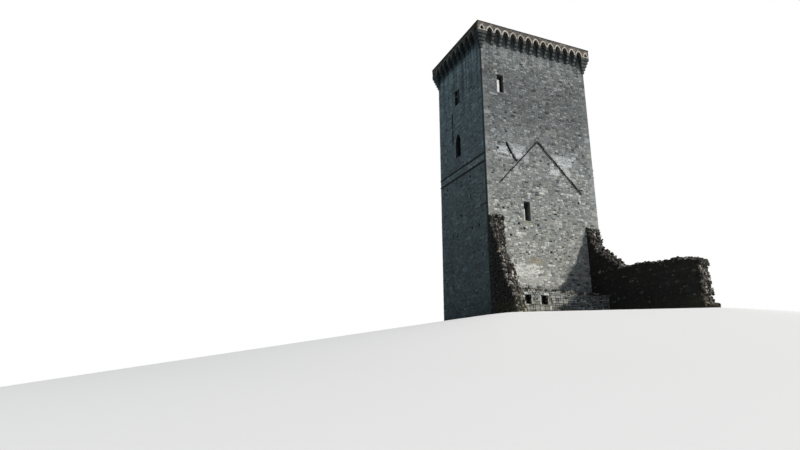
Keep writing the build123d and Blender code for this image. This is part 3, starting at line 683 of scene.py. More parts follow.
def linked(points, triangles, borders_only):
    """Groups of corners that edges link: the open borders of flat triangles, or else whole solids."""
    keys = {}
    ids = [keys.setdefault(tuple(p), len(keys)) for p in np.round(points, 3)]
    seen = {}
    for a, b, c in triangles:
        for edge in ((a, b), (b, c), (c, a)):
            key = tuple(sorted((ids[edge[0]], ids[edge[1]])))
            seen[key] = seen.get(key, 0) + 1
    links = {}
    for (a, b), count in seen.items():
        if count == 1 or not borders_only:
            links.setdefault(a, set()).add(b)
            links.setdefault(b, set()).add(a)
    places = {i: p for p, i in keys.items()}
    groups = []
    while links:
        todo, group = [next(iter(links))], set()
        while todo:
            i = todo.pop()
            if i in links:
                group.add(i)
                todo.extend(links.pop(i))
        groups.append(np.array([places[i] for i in group]))
    return groups


def openings(nodes, plane):
    """Every opening in the outer faces of those nodes: left, right, sill, head and spring."""
    found = []
    for node in nodes:
        corners, triangles = node_mesh(node)
        flat = to_plane(corners, plane)
        on_face = np.abs(flat[:, 2]) < TOUCH
        triangles = triangles[on_face[triangles].all(axis=1)]
        if not len(triangles):
            continue
        groups = linked(flat[:, :2], triangles, True)
        outline = max(groups, key=lambda g: np.ptp(g[:, 0]) * np.ptp(g[:, 1]))
        for group in groups:
            left, right = group[:, 0].min(), group[:, 0].max()
            if group is not outline and right - left < LARGEST_OPENING:
                jamb = group[np.abs(group[:, 0] - left) < TOUCH]
                found.append((left, right, group[:, 1].min(), group[:, 1].max(), jamb[:, 1].max()))
    return found


OPENINGS = {face: openings(WALL_NODES, plane) for face, (plane, _) in FACES.items()}
print({face: len(found) for face, found in OPENINGS.items()})

# %% [markdown]
# ## Two shapes of stone
# Rubble stones are split, so their faces are uneven and their edges worn: an eight-sided outline with
# clipped corners, narrowing from the mortar bed to a slightly domed face. Dressed blocks are sawn or
# chiselled square, with a small worn chamfer. Each shape is made once as a pattern and laid thousands of
# times with numpy, no two alike.

# %% Patterns of the two stones
RING = 8
RUBBLE_FACES = [(i, (i + 1) % RING, RING + (i + 1) % RING, RING + i) for i in range(RING)]
RUBBLE_FACES += [(RING + i, RING + (i + 1) % RING, 2 * RING) for i in range(RING)]
SIGNS = np.array([(x, y, z) for x in (-1, 1) for y in (-1, 1) for z in (-1, 1)], float)
BLOCK_SIGNS = np.repeat(SIGNS, 3, axis=0)
# For each corner of a block, the two directions in which its chamfer draws it in
DRAWN_IN = 1 - np.tile(np.eye(3), (8, 1))
PATTERN_CHAMFER = 0.2


def block_pattern():
    """The faces of a chamfered block. Its corners are three for each corner of a box, one on each side."""
    def corner(signs, axis):
        return int(np.flatnonzero((SIGNS == signs).all(axis=1))[0]) * 3 + axis

    spread = BLOCK_SIGNS * (1 - PATTERN_CHAMFER * DRAWN_IN)
    faces = [tuple(corner(s, axis) for axis in range(3)) for s in SIGNS]
    for axis in range(3):
        b, c = (axis + 1) % 3, (axis + 2) % 3
        for side in (-1, 1):
            square = [np.array([0.0, 0.0, 0.0]) for _ in range(4)]
            for point, (x, y) in zip(square, ((-1, -1), (1, -1), (1, 1), (-1, 1))):
                point[axis], point[b], point[c] = side, x, y
            faces.append(tuple(corner(p, axis) for p in square))
        for x in (-1, 1):
            for y in (-1, 1):
                ends = [np.array([0.0, 0.0, 0.0]) for _ in range(2)]
                for point, z in zip(ends, (-1, 1)):
                    point[axis], point[b], point[c] = z, x, y
                faces.append((corner(ends[0], b), corner(ends[1], b), corner(ends[1], c), corner(ends[0], c)))
    outward = []
    for face in faces:
        points = spread[list(face)]
        normal = np.cross(points[1] - points[0], points[2] - points[0])
        outward.append(face if normal @ points.mean(axis=0) > 0 else face[::-1])
    return outward


BLOCK_FACES = block_pattern()
print("triangles: rubble stone", 3 * RING, "block", 8 + 2 * 6 + 2 * 12)

# %% Lay one piece of masonry
PIECES = []


def new_object(name, data):
    """An object with that data, in the scene."""
    thing = bpy.data.objects.new(name, data)
    bpy.context.scene.collection.objects.link(thing)
    return thing


def lay(name, groups, material, stands_for=()):
    """One piece from groups of stones. A group is its stones' corners, the faces of one stone, and tones."""
    mesh = bpy.data.meshes.new(name)
    points, tones, loops, sizes, base = [], [], [], [], 0
    for corners, faces, tone in groups:
        count, each, _ = corners.shape
        if not count:
            continue
        points.append(corners.reshape(-1, 3))
        tones.append(np.repeat(np.broadcast_to(tone, count), each))
        starts = base + each * np.arange(count)
        for face in faces:
            loops.append((starts[:, None] + np.array(face)).ravel())
            sizes.append(np.full(count, len(face)))
        base += count * each
    points, tones = np.clip(np.concatenate(points), *cad_box), np.concatenate(tones)
    loops, sizes = np.concatenate(loops), np.concatenate(sizes)
    mesh.vertices.add(len(points))
    mesh.vertices.foreach_set("co", points.astype(np.float32).ravel())
    mesh.loops.add(len(loops))
    mesh.loops.foreach_set("vertex_index", loops.astype(np.int32))
    mesh.polygons.add(len(sizes))
    mesh.polygons.foreach_set("loop_start", (np.cumsum(sizes) - sizes).astype(np.int32))
    mesh.update(calc_edges=True)
    mesh.validate()
    tone_layer = mesh.attributes.new("tone", "FLOAT", "POINT")
    tone_layer.data.foreach_set("value", tones.astype(np.float32))
    mesh.shade_flat()
    mesh.materials.append(material)
    piece = new_object(name, mesh)
    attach(piece, BODY)
    if stands_for:
        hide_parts(*stands_for)
    PIECES.append(piece)
    print(name, "triangles:", int((sizes - 2).sum()))
    return piece


# %% [markdown]
# ## Blocks and rubble from rectangles
# A stone is given as a rectangle on a face. These two functions turn lists of rectangles into corners: the
# first for split stones, with wobbling outlines and faces that tilt a few millimetres, the second for
# dressed blocks.

# %% Turn rectangles into stones
JOINT = 0.015
BEDDED = 0.03
PROUD = (0.005, 0.022)
ROLL = 0.014
ROLL_UNEVEN = (0.7, 1.4)
MOST_ROLL = 0.5
CORNER_CLIP = (0.12, 0.6)
OUTLINE_WOBBLE = 0.004
FACE_TILT = 0.014
TOP_OFF_CENTRE = 0.012
DOME = (-0.002, 0.008)
CHAMFER_LIMIT = 0.6
# Tones: the middle and spread of most stones, the palest of them, and what the pale and the dark ones have
COMMON_TONES = (0.45, 0.18)
COMMON_LIMIT = 0.84
PALE_TONES = (0.8, 1.0)
DARK_TONES = (LEAST_TONE, 0.1)
DRESSED_SPREAD = 0.14
TOP_PALE = 0.22
TOP_PALE_FROM = CORBEL_FOOT - 2.4
rng = np.random.default_rng(1180)


def clipped(tones):
    """Tones kept in range, and above what marks a solid."""
    return np.clip(tones, LEAST_TONE, 1)


def tones_for(count, pale_share=0.08, dark_share=0.006):
    """A tone for each stone: most near the middle, a few pale ones and a few nearly black."""
    tones = np.clip(rng.normal(*COMMON_TONES, count), LEAST_TONE, COMMON_LIMIT)
    kind = rng.random(count)
    pale, dark = kind < pale_share, kind > 1 - dark_share
    tones[pale] = rng.uniform(*PALE_TONES, pale.sum())
    tones[dark] = rng.uniform(*DARK_TONES, dark.sum())
    return tones


def rubble(rects, plane, level=0.0, pale_share=0.08):
    """Split stones on rectangles (left, right, low, high). A level lifts them with the wall behind."""
    rects = np.asarray(rects, float).reshape(-1, 4)
    count = len(rects)
    half = np.stack([rects[:, 1] - rects[:, 0], rects[:, 3] - rects[:, 2]], axis=1) / 2 - JOINT / 2
    centre = np.stack([rects[:, 0] + rects[:, 1], rects[:, 2] + rects[:, 3]], axis=1) / 2
    clip = half.min(axis=1)[:, None, None] * rng.uniform(*CORNER_CLIP, (count, 4, 2))
    outline = np.empty((count, RING, 2))
    for i, (x, y) in enumerate(((-1, -1), (1, -1), (1, 1), (-1, 1))):
        along_u = np.stack([x * (half[:, 0] - clip[:, i, 0]), y * half[:, 1]], axis=1)
        along_v = np.stack([x * half[:, 0], y * (half[:, 1] - clip[:, i, 1])], axis=1)
        first, second = (along_v, along_u) if x * y > 0 else (along_u, along_v)
        outline[:, 2 * i], outline[:, 2 * i + 1] = first, second
    outline += rng.normal(0, OUTLINE_WOBBLE, outline.shape)
    shrink = 1 - np.minimum(ROLL * rng.uniform(*ROLL_UNEVEN, (count, 1)) / half, MOST_ROLL)
    proud = rng.uniform(*PROUD, count)[:, None]
    tilt = rng.normal(0, FACE_TILT, (count, 1, 2))
    face = outline * shrink[:, None, :]
    corners = np.empty((count, 2 * RING + 1, 3))
    corners[:, :RING, :2], corners[:, RING:-1, :2] = outline, face
    corners[:, :RING, 2], corners[:, RING:-1, 2] = -BEDDED, proud + (face * tilt).sum(axis=2)
    corners[:, -1, :2] = rng.normal(0, TOP_OFF_CENTRE, (count, 2))
    corners[:, -1, 2] = proud[:, 0] + rng.uniform(*DOME, count)
    corners[:, :, :2] += centre[:, None, :]
    corners[:, :, 2] += np.reshape(level, (-1, 1))
    shares = pale_share + TOP_PALE * (centre[:, 1] > TOP_PALE_FROM)
    return plane.place(corners), RUBBLE_FACES, tones_for(count, shares)


def shaped_blocks(outlines, depths, plane, chamfer=0.012, joint=0.01, wobble=0.003, tone=None):
    """Dressed blocks on four-sided outlines in u and v, each reaching from one depth to another along n."""
    outlines = np.asarray(outlines, float).reshape(-1, 4, 2)
    depths = np.broadcast_to(np.asarray(depths, float), (len(outlines), 2))
    across = np.linalg.norm(outlines[:, 1] + outlines[:, 2] - outlines[:, 0] - outlines[:, 3], axis=1) / 4
    upward = np.linalg.norm(outlines[:, 2] + outlines[:, 3] - outlines[:, 0] - outlines[:, 1], axis=1) / 4
    half = np.stack([across, upward, (depths[:, 1] - depths[:, 0]) / 2], axis=1)
    worn = np.minimum(chamfer, half.min(axis=1) * CHAMFER_LIMIT)[:, None, None] * DRAWN_IN
    gap = np.array([joint / 2, joint / 2, 0])
    local = BLOCK_SIGNS * (half[:, None, :] - gap - worn) / half[:, None, :]
    x, y = local[:, :, None, 0], local[:, :, None, 1]
    a, b, c, d = (outlines[:, None, i] for i in range(4))
    flat = ((1 - x) * (1 - y) * a + (1 + x) * (1 - y) * b + (1 + x) * (1 + y) * c + (1 - x) * (1 + y) * d) / 4
    out = depths.mean(axis=1)[:, None, None] + local[:, :, 2:] * half[:, None, 2:]
    corners = np.concatenate([flat, out], axis=2)
    corners += np.repeat(rng.normal(0, wobble, (len(outlines), 8, 3)), 3, axis=1)
    count = len(outlines)
    tones = tones_for(count) if tone is None else clipped(rng.normal(tone, DRESSED_SPREAD, count))
    return plane.place(corners), BLOCK_FACES, tones


def blocks(boxes, plane, **finish):
    """Square blocks on boxes (left, right, low, high, inner, outer), in u, v and n of a plane."""
    boxes = np.asarray(boxes, float).reshape(-1, 6)
    outlines = boxes[:, [0, 2, 1, 2, 1, 3, 0, 3]].reshape(-1, 4, 2)
    return shaped_blocks(outlines, boxes[:, 4:], plane, **finish)


# %% [markdown]
# ## Snecked rubble brought to courses
# The masons levelled the whole wall every 40 to 50 cm, at the height of a corner stone. Between two levels
# they used what came off the cart: one tall stone, two lower rows, now and then three. So a course is cut
# into stretches, each with one, two or three rows, and each row into stones one to three times as long as
# they are high.

# %% Courses and rows
COURSE = (0.42, 0.52)
STRETCH = (1.2, 3.6)
ROW_SHARES = (0.03, 0.62, 0.35)
ROW_EVENNESS = 40
STONE_LENGTH = (0.9, 2.4)
LEAST_LENGTH = 0.7
LEAST_STONE = 0.075


def cut_run(start, end, lengths):
    """A run cut into lengths, as pairs of ends."""
    cuts = [start]
    while end - cuts[-1] > lengths[1]:
        cuts.append(cuts[-1] + rng.uniform(*lengths))
    return list(zip(cuts, [*cuts[1:], end]))


def course_levels(low, high):
    """Levels from low to high, a course apart."""
    steps = []
    while sum(steps) < high - low:
        steps.append(rng.uniform(*COURSE))
    return low + np.concatenate([[0], np.cumsum(steps)]) * (high - low) / sum(steps)


def without(rect, hole):
    """What is left of a rectangle outside a hole, as up to four rectangles."""
    left, right, low, high = rect
    hole_left, hole_right, hole_low, hole_high = hole
    if right <= hole_left or left >= hole_right or high <= hole_low or low >= hole_high:
        return [rect]
    middle = (max(left, hole_left), min(right, hole_right))
    rest = [(left, hole_left, low, high), (hole_right, right, low, high), (*middle, low, hole_low),
            (*middle, hole_high, high)]
    return [r for r in rest if r[1] - r[0] > LEAST_STONE and r[3] - r[2] > LEAST_STONE]


def lay_courses(levels, span, holes):
    """Rectangles of rubble between levels. The span gives the two ends of a course by its number."""
    rects = []
    for i, (low, high) in enumerate(zip(levels, levels[1:])):
        start, end = span(i)
        while end - start > LEAST_STONE:
            stop = min(end, start + rng.uniform(*STRETCH))
            if end - stop < STRETCH[0] / 2:
                stop = end
            rows = 1 + rng.choice(3, p=ROW_SHARES)
            cuts = low + (high - low) * np.cumsum([0, *rng.dirichlet([ROW_EVENNESS] * rows)])
            for row_low, row_high in zip(cuts, cuts[1:]):
                left = start
                while left < stop:
                    right = left + (row_high - row_low) * rng.uniform(*STONE_LENGTH)
                    if stop - right < (row_high - row_low) * LEAST_LENGTH:
                        right = stop
                    rects.append((left, right, row_low, row_high))
                    left = right
            start = stop
    for hole in holes:
        rects = [rest for rect in rects for rest in without(rect, hole)]
    return rects


LEVELS = course_levels(0.0, WALK_Z)
print("courses:", len(LEVELS) - 1)

# %% [markdown]
# ## Dressed stone round the openings
# Rubble can't make a sharp edge, so every window has jambs of squared blocks, long and short in turn so
# that they bond with the wall, with a lintel over them or a ring of wedge-shaped voussoirs where the head
# is an arch. The blocks reach into the reveal. A scaffold hole is only a gap between stones, so it gets
# none.

# %% Jambs, lintels, sills and arches
DRESSED_PROUD = 0.02
REVEAL_DEPTH = 0.3
LINING = 0.004
NARROW = 0.3
JAMBS = {"window": (0.17, 0.36), "slit": (0.13, 0.24)}
JAMB_HEIGHT = 0.27
LINTEL_HEIGHT = 0.21
LINTEL_STONE = (0.3, 0.7)
SILL_HEIGHT = 0.14
SILL_PROUD = 0.04
VOUSSOIR = 0.24
VOUSSOIRS_A_SIDE = 5


def arc_point(share, half, rise):
    """A point on the right half of a pointed arch, from the springing at 0 to the apex at 1."""
    radius = (rise**2 + half**2) / (2 * half)
    angle = share * math.atan2(rise, radius - half)
    return half - radius + radius * math.cos(angle), radius * math.sin(angle)


def voussoirs(opening):
    """Outlines of the wedge blocks of an arch, and rectangles that cover them."""
    left, right, _, head, spring = opening
    half, rise, middle = (right - left) / 2, head - spring, (left + right) / 2
    outlines, covered = [], []
    for i in range(VOUSSOIRS_A_SIDE):
        a, b = i / VOUSSOIRS_A_SIDE, (i + 1) / VOUSSOIRS_A_SIDE
        inner = [arc_point(s, half, rise) for s in (a, b)]
        outer = [arc_point(s, half + VOUSSOIR, rise + VOUSSOIR) for s in (a, b)]
        wedge = np.array([inner[0], outer[0], outer[1], inner[1]])
        for side in (1, -1):
            turned = wedge * (side, 1) + (middle, spring)
            outlines.append(turned if side > 0 else turned[[1, 0, 3, 2]])
        reach = wedge[1:3, 0].max()
        covered.append((middle - reach, middle + reach, spring + wedge[:, 1].min(), spring + outer[1][1]))
    return outlines, covered


def surround(opening):
    """Outlines and depths of one opening's dressed blocks, and the rectangles that rubble has to leave."""
    left, right, sill, head, spring = opening
    narrow = right - left < NARROW
    if narrow and head - sill < NARROW:
        return [], [], [(left, right, sill, head)]
    short, long = JAMBS["slit" if narrow else "window"]
    boxes = []
    levels = np.linspace(sill, spring, 1 + max(2, round((spring - sill) / JAMB_HEIGHT)))
    for i, (low, high) in enumerate(zip(levels, levels[1:])):
        for side in (0, 1):
            wide = long if (i + side) % 2 else short
            span = (right - LINING, right + wide) if side else (left - wide, left + LINING)
            boxes.append((*span, low, high, DRESSED_PROUD))
    for a, b in cut_run(left - short, right + short, LINTEL_STONE):
        boxes.append((a, b, sill - SILL_HEIGHT, sill + LINING, SILL_PROUD))
    if spring == head:
        for a, b in cut_run(left - short, right + short, LINTEL_STONE):
            boxes.append((a, b, head - LINING, head + LINTEL_HEIGHT, DRESSED_PROUD))
    outlines = [((a, c), (b, c), (b, d), (a, d)) for a, b, c, d, _ in boxes]
    depths = [(-REVEAL_DEPTH, out) for *_, out in boxes]
    covered = [(left, right, sill, head)] + [box[:4] for box in boxes]
    if spring < head:
        wedges, wedge_cover = voussoirs(opening)
        outlines += wedges
        depths += [(-REVEAL_DEPTH, DRESSED_PROUD)] * len(wedges)
        covered += wedge_cover
    return outlines, depths, covered


def dress(found, plane):
    """The dressed blocks round all openings of a face, and the rectangles that rubble has to leave."""
    outlines, depths, covered = [], [], []
    for opening in found:
        more_outlines, more_depths, more_covered = surround(opening)
        outlines += list(more_outlines)
        depths += more_depths
        covered += more_covered
    return shaped_blocks(outlines, depths, plane), covered


# %% [markdown]
# ## Quoins and the four faces
# A corner is built first, of the largest squared stones, laid long and short in turn on each side. Each
# quoin is one block that turns the corner. The two front corners have them only above the torn walls,
# because below there the hall's walls ran on through. Then each course of rubble is laid from quoin to
# quoin.

# %% Lay the faces of the tower
QUOIN_SHORT = (0.28, 0.42)
QUOIN_LONG = (0.55, 0.85)
TORN_INNER = {"left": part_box("left_torn_wall")[1].x, "right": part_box("wing_wall")[0].x}
TORN_TOP = {"left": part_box("left_torn_wall")[1].z, "right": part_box("wing_wall_root")[1].z}
TORN_REACH = {"left": -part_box("left_torn_wall")[0].y, "right": -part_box("wing_wall")[0].y}
# Where courses without a quoin end instead, by the face and which of its two ends it is
TORN_ENDS = {
    ("front", 0): TORN_INNER["left"],
    ("front", 1): TORN_INNER["right"],
    ("right", 0): -TORN_REACH["right"],
    ("left", 1): TORN_REACH["left"],
}
CORNERS = ("front_left", "front_right", "back_right", "back_left")
QUOINS_FROM = {"front_left": TORN_TOP["left"], "front_right": TORN_TOP["right"]}
FACE_NAMES = list(FACES)

quoins = {}
for k, corner in enumerate(CORNERS):
    for i, high in enumerate(LEVELS[1:]):
        if high > QUOINS_FROM.get(corner, 0):
            sizes = rng.uniform(*QUOIN_LONG), rng.uniform(*QUOIN_SHORT)
            quoins[k, i] = sizes if (i + k) % 2 else sizes[::-1]

for k, corner in enumerate(CORNERS):
    plane, half = FACES[FACE_NAMES[k]]
    boxes = [(-half - DRESSED_PROUD, -half + quoins[k, i][0], low, high, -quoins[k, i][1], DRESSED_PROUD)
             for i, (low, high) in enumerate(zip(LEVELS, LEVELS[1:])) if (k, i) in quoins]
    stones = blocks(boxes, plane, chamfer=0.02, joint=0.02, tone=0.55)
    lay(f"{corner}_quoins", [stones], RUBBLE)


def face_span(face):
    """A function that gives a course its two ends on that face, each at a quoin or at a torn wall."""
    k = FACE_NAMES.index(face)
    half = FACES[face][1]

    def span(i):
        ends = []
        for end, corner in enumerate((k, (k + 1) % len(CORNERS))):
            side = 2 * end - 1
            if (corner, i) in quoins:
                ends.append(side * (half - quoins[corner, i][end]))
            else:
                ends.append(TORN_ENDS.get((face, end), side * half))
        return ends

    return span


beyond = {}
for face, (plane, half) in FACES.items():
    dressing, covered = dress(OPENINGS[face], plane)
    lay(f"{face}_window_dressings", [dressing], DRESSED)
    rects = np.array(lay_courses(LEVELS, face_span(face), covered))
    middle = rects[:, :2].mean(axis=1)
    beyond[face] = rects[np.abs(middle) > half]
    lay(f"{face}_rubble", [rubble(rects[np.abs(middle) <= half], plane)], RUBBLE)

# %% [markdown]
# ## Pale slabs in the front windows
# Each front window has a shallow rebate, and in its left half an upright of limewashed slabs still stands,
# bright where the sun reaches it. They are blocks like the dressings, set a hand behind the face.

# %% Set the rebate slabs
REBATE_DEPTHS = (-0.32, -0.12)
REBATE_SIZES = ((0.18, 1.25), (0.36, 1.5))
REBATE_SLAB = (0.3, 0.55)
WIDE_WINDOW = 0.4
front_windows = sorted((o for o in OPENINGS["front"] if o[1] - o[0] > WIDE_WINDOW), key=lambda o: o[2])
slabs = []
for (left, _, sill, _, _), (wide, tall) in zip(front_windows, REBATE_SIZES):
    slabs += [(left, left + wide, low, high, *REBATE_DEPTHS)
              for low, high in cut_run(sill, sill + tall, REBATE_SLAB)]
lay("window_rebate_slabs", [blocks(slabs, FACES["front"][0], wobble=0.004)], REBATE_STONE)

# %% [markdown]
# ## The torn walls
# Where the hall was pulled down, its walls were left as ragged stumps: faced with the same rubble on both
# sides, and between the faces a core of broken stone in mortar. The facing is laid only where a ray finds
# wall behind all of a stone, so it ends along the tear. Over the broken tops and ends lie lumps of the
# core, half sunk and turned at random, which hide the even steps of the solids. The left stump has lost its
# outer facing too.

# %% Face the torn walls
TORN_NODES = ["left_torn_wall", "wing_wall_root", "wing_wall", "cellar_front_wall"]
INSET = 0.03
LEVEL_STEP = 0.02
RAY_FROM = 1.0
RAY_LENGTH = 1.5
torn_parts = [node_mesh(node) for node in [*TORN_NODES, "right_wall_basement", "right_wall_hall"]]
torn_offsets = np.cumsum([0] + [len(corners) for corners, _ in torn_parts])
torn_corners = np.concatenate([corners for corners, _ in torn_parts])
torn_triangles = np.concatenate([t + offset for (_, t), offset in zip(torn_parts, torn_offsets)])
torn_tree = BVHTree.FromPolygons(torn_corners.tolist(), torn_triangles.tolist())


def backed(rects, plane):
    """The rectangles that have wall behind them all over, and how far out the wall stands there."""
    kept, levels = [], []
    for left, right, low, high in rects:
        inner = (left + INSET, right - INSET), (low + INSET, high - INSET)
        spots = [(u, v, RAY_FROM) for u in inner[0] for v in inner[1]]
        spots = plane.place(np.array([*spots, ((left + right) / 2, (low + high) / 2, RAY_FROM)]))
        hits = [torn_tree.ray_cast(Vector(p), Vector(-plane.n), RAY_LENGTH) for p in spots]
        if all(hit[0] is not None for hit in hits):
            out = [RAY_FROM - hit[3] for hit in hits]
            if max(out) - min(out) < LEVEL_STEP:
                kept.append((left, right, low, high))
                levels.append(np.mean(out))
    return kept, np.array(levels)


def split_at(rects, borders):
    """Rectangles cut through at those places along u."""
    for border in borders:
        parts = []
        for left, right, low, high in rects:
            ends = [(left, border), (border, right)] if left < border < right else [(left, right)]
            parts += [(a, b, low, high) for a, b in ends if b - a > LEAST_STONE]
        rects = parts
    return rects


wing_corners = node_mesh("wing_wall")[0]
wing_foot = wing_corners[(wing_corners[:, 2] < TOUCH) & (wing_corners[:, 0] > TORN_INNER["right"] + TOUCH)]
WING_BAYS = sorted(set(wing_foot[:, 1].round(3)))
cellar_low, cellar_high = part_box("cellar_front_wall")
INNER_PLANES = {
    "left_torn_inner": (Plane((TORN_INNER["left"], 0, 0), (0, 1, 0), UP, (1, 0, 0)),
                        -TORN_REACH["left"], -HALF_DEPTH, TORN_TOP["left"]),
    "wing_inner": (Plane((TORN_INNER["right"], 0, 0), (0, -1, 0), UP, (-1, 0, 0)),
                   HALF_DEPTH, TORN_REACH["right"], TORN_TOP["right"]),
    "cellar_front": (Plane((0, cellar_low.y, 0), (1, 0, 0), UP, (0, -1, 0)),
                     cellar_low.x, cellar_high.x, cellar_high.z),
    "cellar_back": (Plane((0, cellar_high.y, 0), (-1, 0, 0), UP, (0, 1, 0)),
                    -cellar_high.x, -cellar_low.x, cellar_high.z),
}
plane = FACES["right"][0]
rects, levels = backed(split_at(beyond["right"], WING_BAYS), plane)
lay("wing_outer_rubble", [rubble(rects, plane, levels)], RUBBLE)
for name, (plane, start, end, top) in INNER_PLANES.items():
    covered = []
    if name.startswith("cellar"):
        dressing, covered = dress(openings(["cellar_front_wall"], plane), plane)
        lay(f"{name}_window_dressings", [dressing], RUBBLE)
    levels_here = LEVELS[: np.searchsorted(LEVELS, top) + 1]
    rects, levels = backed(lay_courses(levels_here, lambda i: (start, end), covered), plane)
    # The torn walls' inner faces get the nearly black painted shade
    finish = RUBBLE if name.startswith("cellar") else SHADED_HALL_RUBBLE
    lay(f"{name}_rubble", [rubble(rects, plane, levels, pale_share=0.03)], finish)

# %% Heap the broken core
LUMP_SPACING = 0.18
LUMP_HALF = ((0.07, 0.19), (0.06, 0.15), (0.06, 0.13))
LUMP_TILT = 0.4
LUMP_TONES = (0.46, 0.25)
# Painted shade by how a lump faces: nearly black when it faces left, darker when it faces the front
LEFT_FACING_SHADE_TONE = 0.02
FRONT_FACING_SHADE_TONE = 0.37
LUMP_WORN = (0.3, 0.55)
LUMP_UNEVEN = 0.22
TRIES = 2.5
FACING_OUT = 0.6
LEAST_UP = -0.3
LEAST_UP_CELLAR = 0.5
MOST_BACK = 0.5


def torn_spots(node):
    """Random points on the broken surfaces of a node, none close together, and the directions there."""
    corners, triangles = node_mesh(node)
    a, b, c = (corners[triangles[:, i]] for i in range(3))
    normals = np.cross(b - a, c - a)
    areas = np.linalg.norm(normals, axis=1) / 2
    normals /= 2 * areas[:, None]
    faced = normals[:, 0] > FACING_OUT if node == "left_torn_wall" else np.abs(normals[:, 0]) > FACING_OUT
    broken = ~faced & (normals[:, 2] > LEAST_UP) & (normals[:, 1] < MOST_BACK)
    if node == "cellar_front_wall":
        broken &= normals[:, 2] > LEAST_UP_CELLAR
        broken &= a[:, 2] > cellar_high.z / 2
    chances = np.where(broken, areas, 0)
    count = int(chances.sum() / LUMP_SPACING**2 * TRIES)
    picks = rng.choice(len(triangles), count, p=chances / chances.sum())
    r, s = np.sqrt(rng.random((count, 1))), rng.random((count, 1))
    points = (1 - r) * a[picks] + r * (1 - s) * b[picks] + r * s * c[picks]
    kept = []
    for i, point in enumerate(points):
        if all(np.sum((points[j] - point) ** 2) > LUMP_SPACING**2 for j in kept):
            kept.append(i)
    return points[kept], normals[picks[kept]]


def lumps(spots, normals):
    """Broken stones half sunk at those spots."""
    count = len(spots)
    half = np.stack([rng.uniform(*span, count) for span in LUMP_HALF], axis=1)
    worn = half.min(axis=1)[:, None, None] * rng.uniform(*LUMP_WORN, (count, len(BLOCK_SIGNS), 1))
    corners = BLOCK_SIGNS * (half[:, None, :] - worn * DRAWN_IN)
    corners *= 1 + np.repeat(rng.uniform(-LUMP_UNEVEN, LUMP_UNEVEN, (count, len(SIGNS), 3)), 3, axis=1)
    turned = np.empty_like(corners)
    for i, normal in enumerate(normals):
        lie = Vector(normal).to_track_quat("Z", "Y").to_matrix()
        tilt_x, tilt_y = (Matrix.Rotation(rng.normal(0, LUMP_TILT), 3, axis) for axis in "XY")
        turn = np.array(lie @ Matrix.Rotation(rng.uniform(0, math.tau), 3, "Z") @ (tilt_x @ tilt_y))
        turned[i] = corners[i] @ turn.T + spots[i]
    tones = rng.normal(*LUMP_TONES, count)
    # Painted shade: lumps facing the front are made darker, and lumps facing left nearly black
    tones = np.where(normals[:, 1] < -FACING_OUT, tones - LUMP_TONES[0] + FRONT_FACING_SHADE_TONE, tones)
    tones = np.where(normals[:, 0] < -FACING_OUT, LEFT_FACING_SHADE_TONE, tones)
    return turned, BLOCK_FACES, clipped(tones)


for node in TORN_NODES:
    lay(f"{node}_core", [lumps(*torn_spots(node))], TORN_RUBBLE)

# %% [markdown]
# ## The crown
# The parapet stands on arches that spring from corbel to corbel, with a slot behind each arch for dropping
# things. A pale moulding follows every arch. It is swept along the two arcs that bound it, so it keeps its
# width to the point. The parapet above is two courses of small blocks, and dark slabs lie on top to throw
# off the rain.

# %% Sweep the arch mouldings
CORBEL_WIDTH = 0.3
ARCHES = {"front": 13, "right": 9, "back": 13, "left": 9}
ARCH_RISE = 0.57
MOULDING_WIDTH = 0.13
MOULDING_CROWN = 0.17
MOULDING_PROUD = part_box("arch_mouldings")[1].x - HALF_WIDTH - OVERHANG
MOULDING_STEPS = 10
NICHE = (0.42, 0.4)
NICHE_FOOT = 0.14
NICHE_SILL = 0.1
ROLL_PROFILE = [(0, -0.2), (0, 0.55), (0.1, 0.85), (0.28, 1), (0.72, 1), (0.9, 0.85), (1, 0.55), (1, -0.2)]


def arch_pitch(face):
    """The distance between corbels of a face, measured on the solids."""
    low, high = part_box(f"{face}_corbels")
    length = high.x - low.x if face in ("front", "back") else high.y - low.y
    return (length - CORBEL_WIDTH) / (ARCHES[face] - 2)


def moulding(middle, foot, width, rise):
    """Half of an arch moulding as a strip of rings, mirrored for the other half."""
    rings = []
    for step in range(MOULDING_STEPS + 1):
        inner = np.array(arc_point(step / MOULDING_STEPS, width / 2, rise))
        outer = np.array(arc_point(step / MOULDING_STEPS, width / 2 + MOULDING_WIDTH, rise + MOULDING_CROWN))
        rings += [(*(inner + t * (outer - inner)), out * MOULDING_PROUD) for t, out in ROLL_PROFILE]
    strip = np.array(rings)
    mirrored = strip.reshape(MOULDING_STEPS + 1, -1, 3)[:, ::-1].reshape(-1, 3) * (-1, 1, 1)
    return np.stack([strip, mirrored]) + (middle, foot, 0)


def ring_faces(rings, each):
    """The faces of a closed tube of rings, with its two ends."""
    sides = [(r * each + i, (r + 1) * each + i, (r + 1) * each + (i + 1) % each, r * each + (i + 1) % each)
             for r in range(rings - 1) for i in range(each)]
    return sides + [tuple(range(each)), tuple(range(rings * each - 1, (rings - 1) * each - 1, -1))]


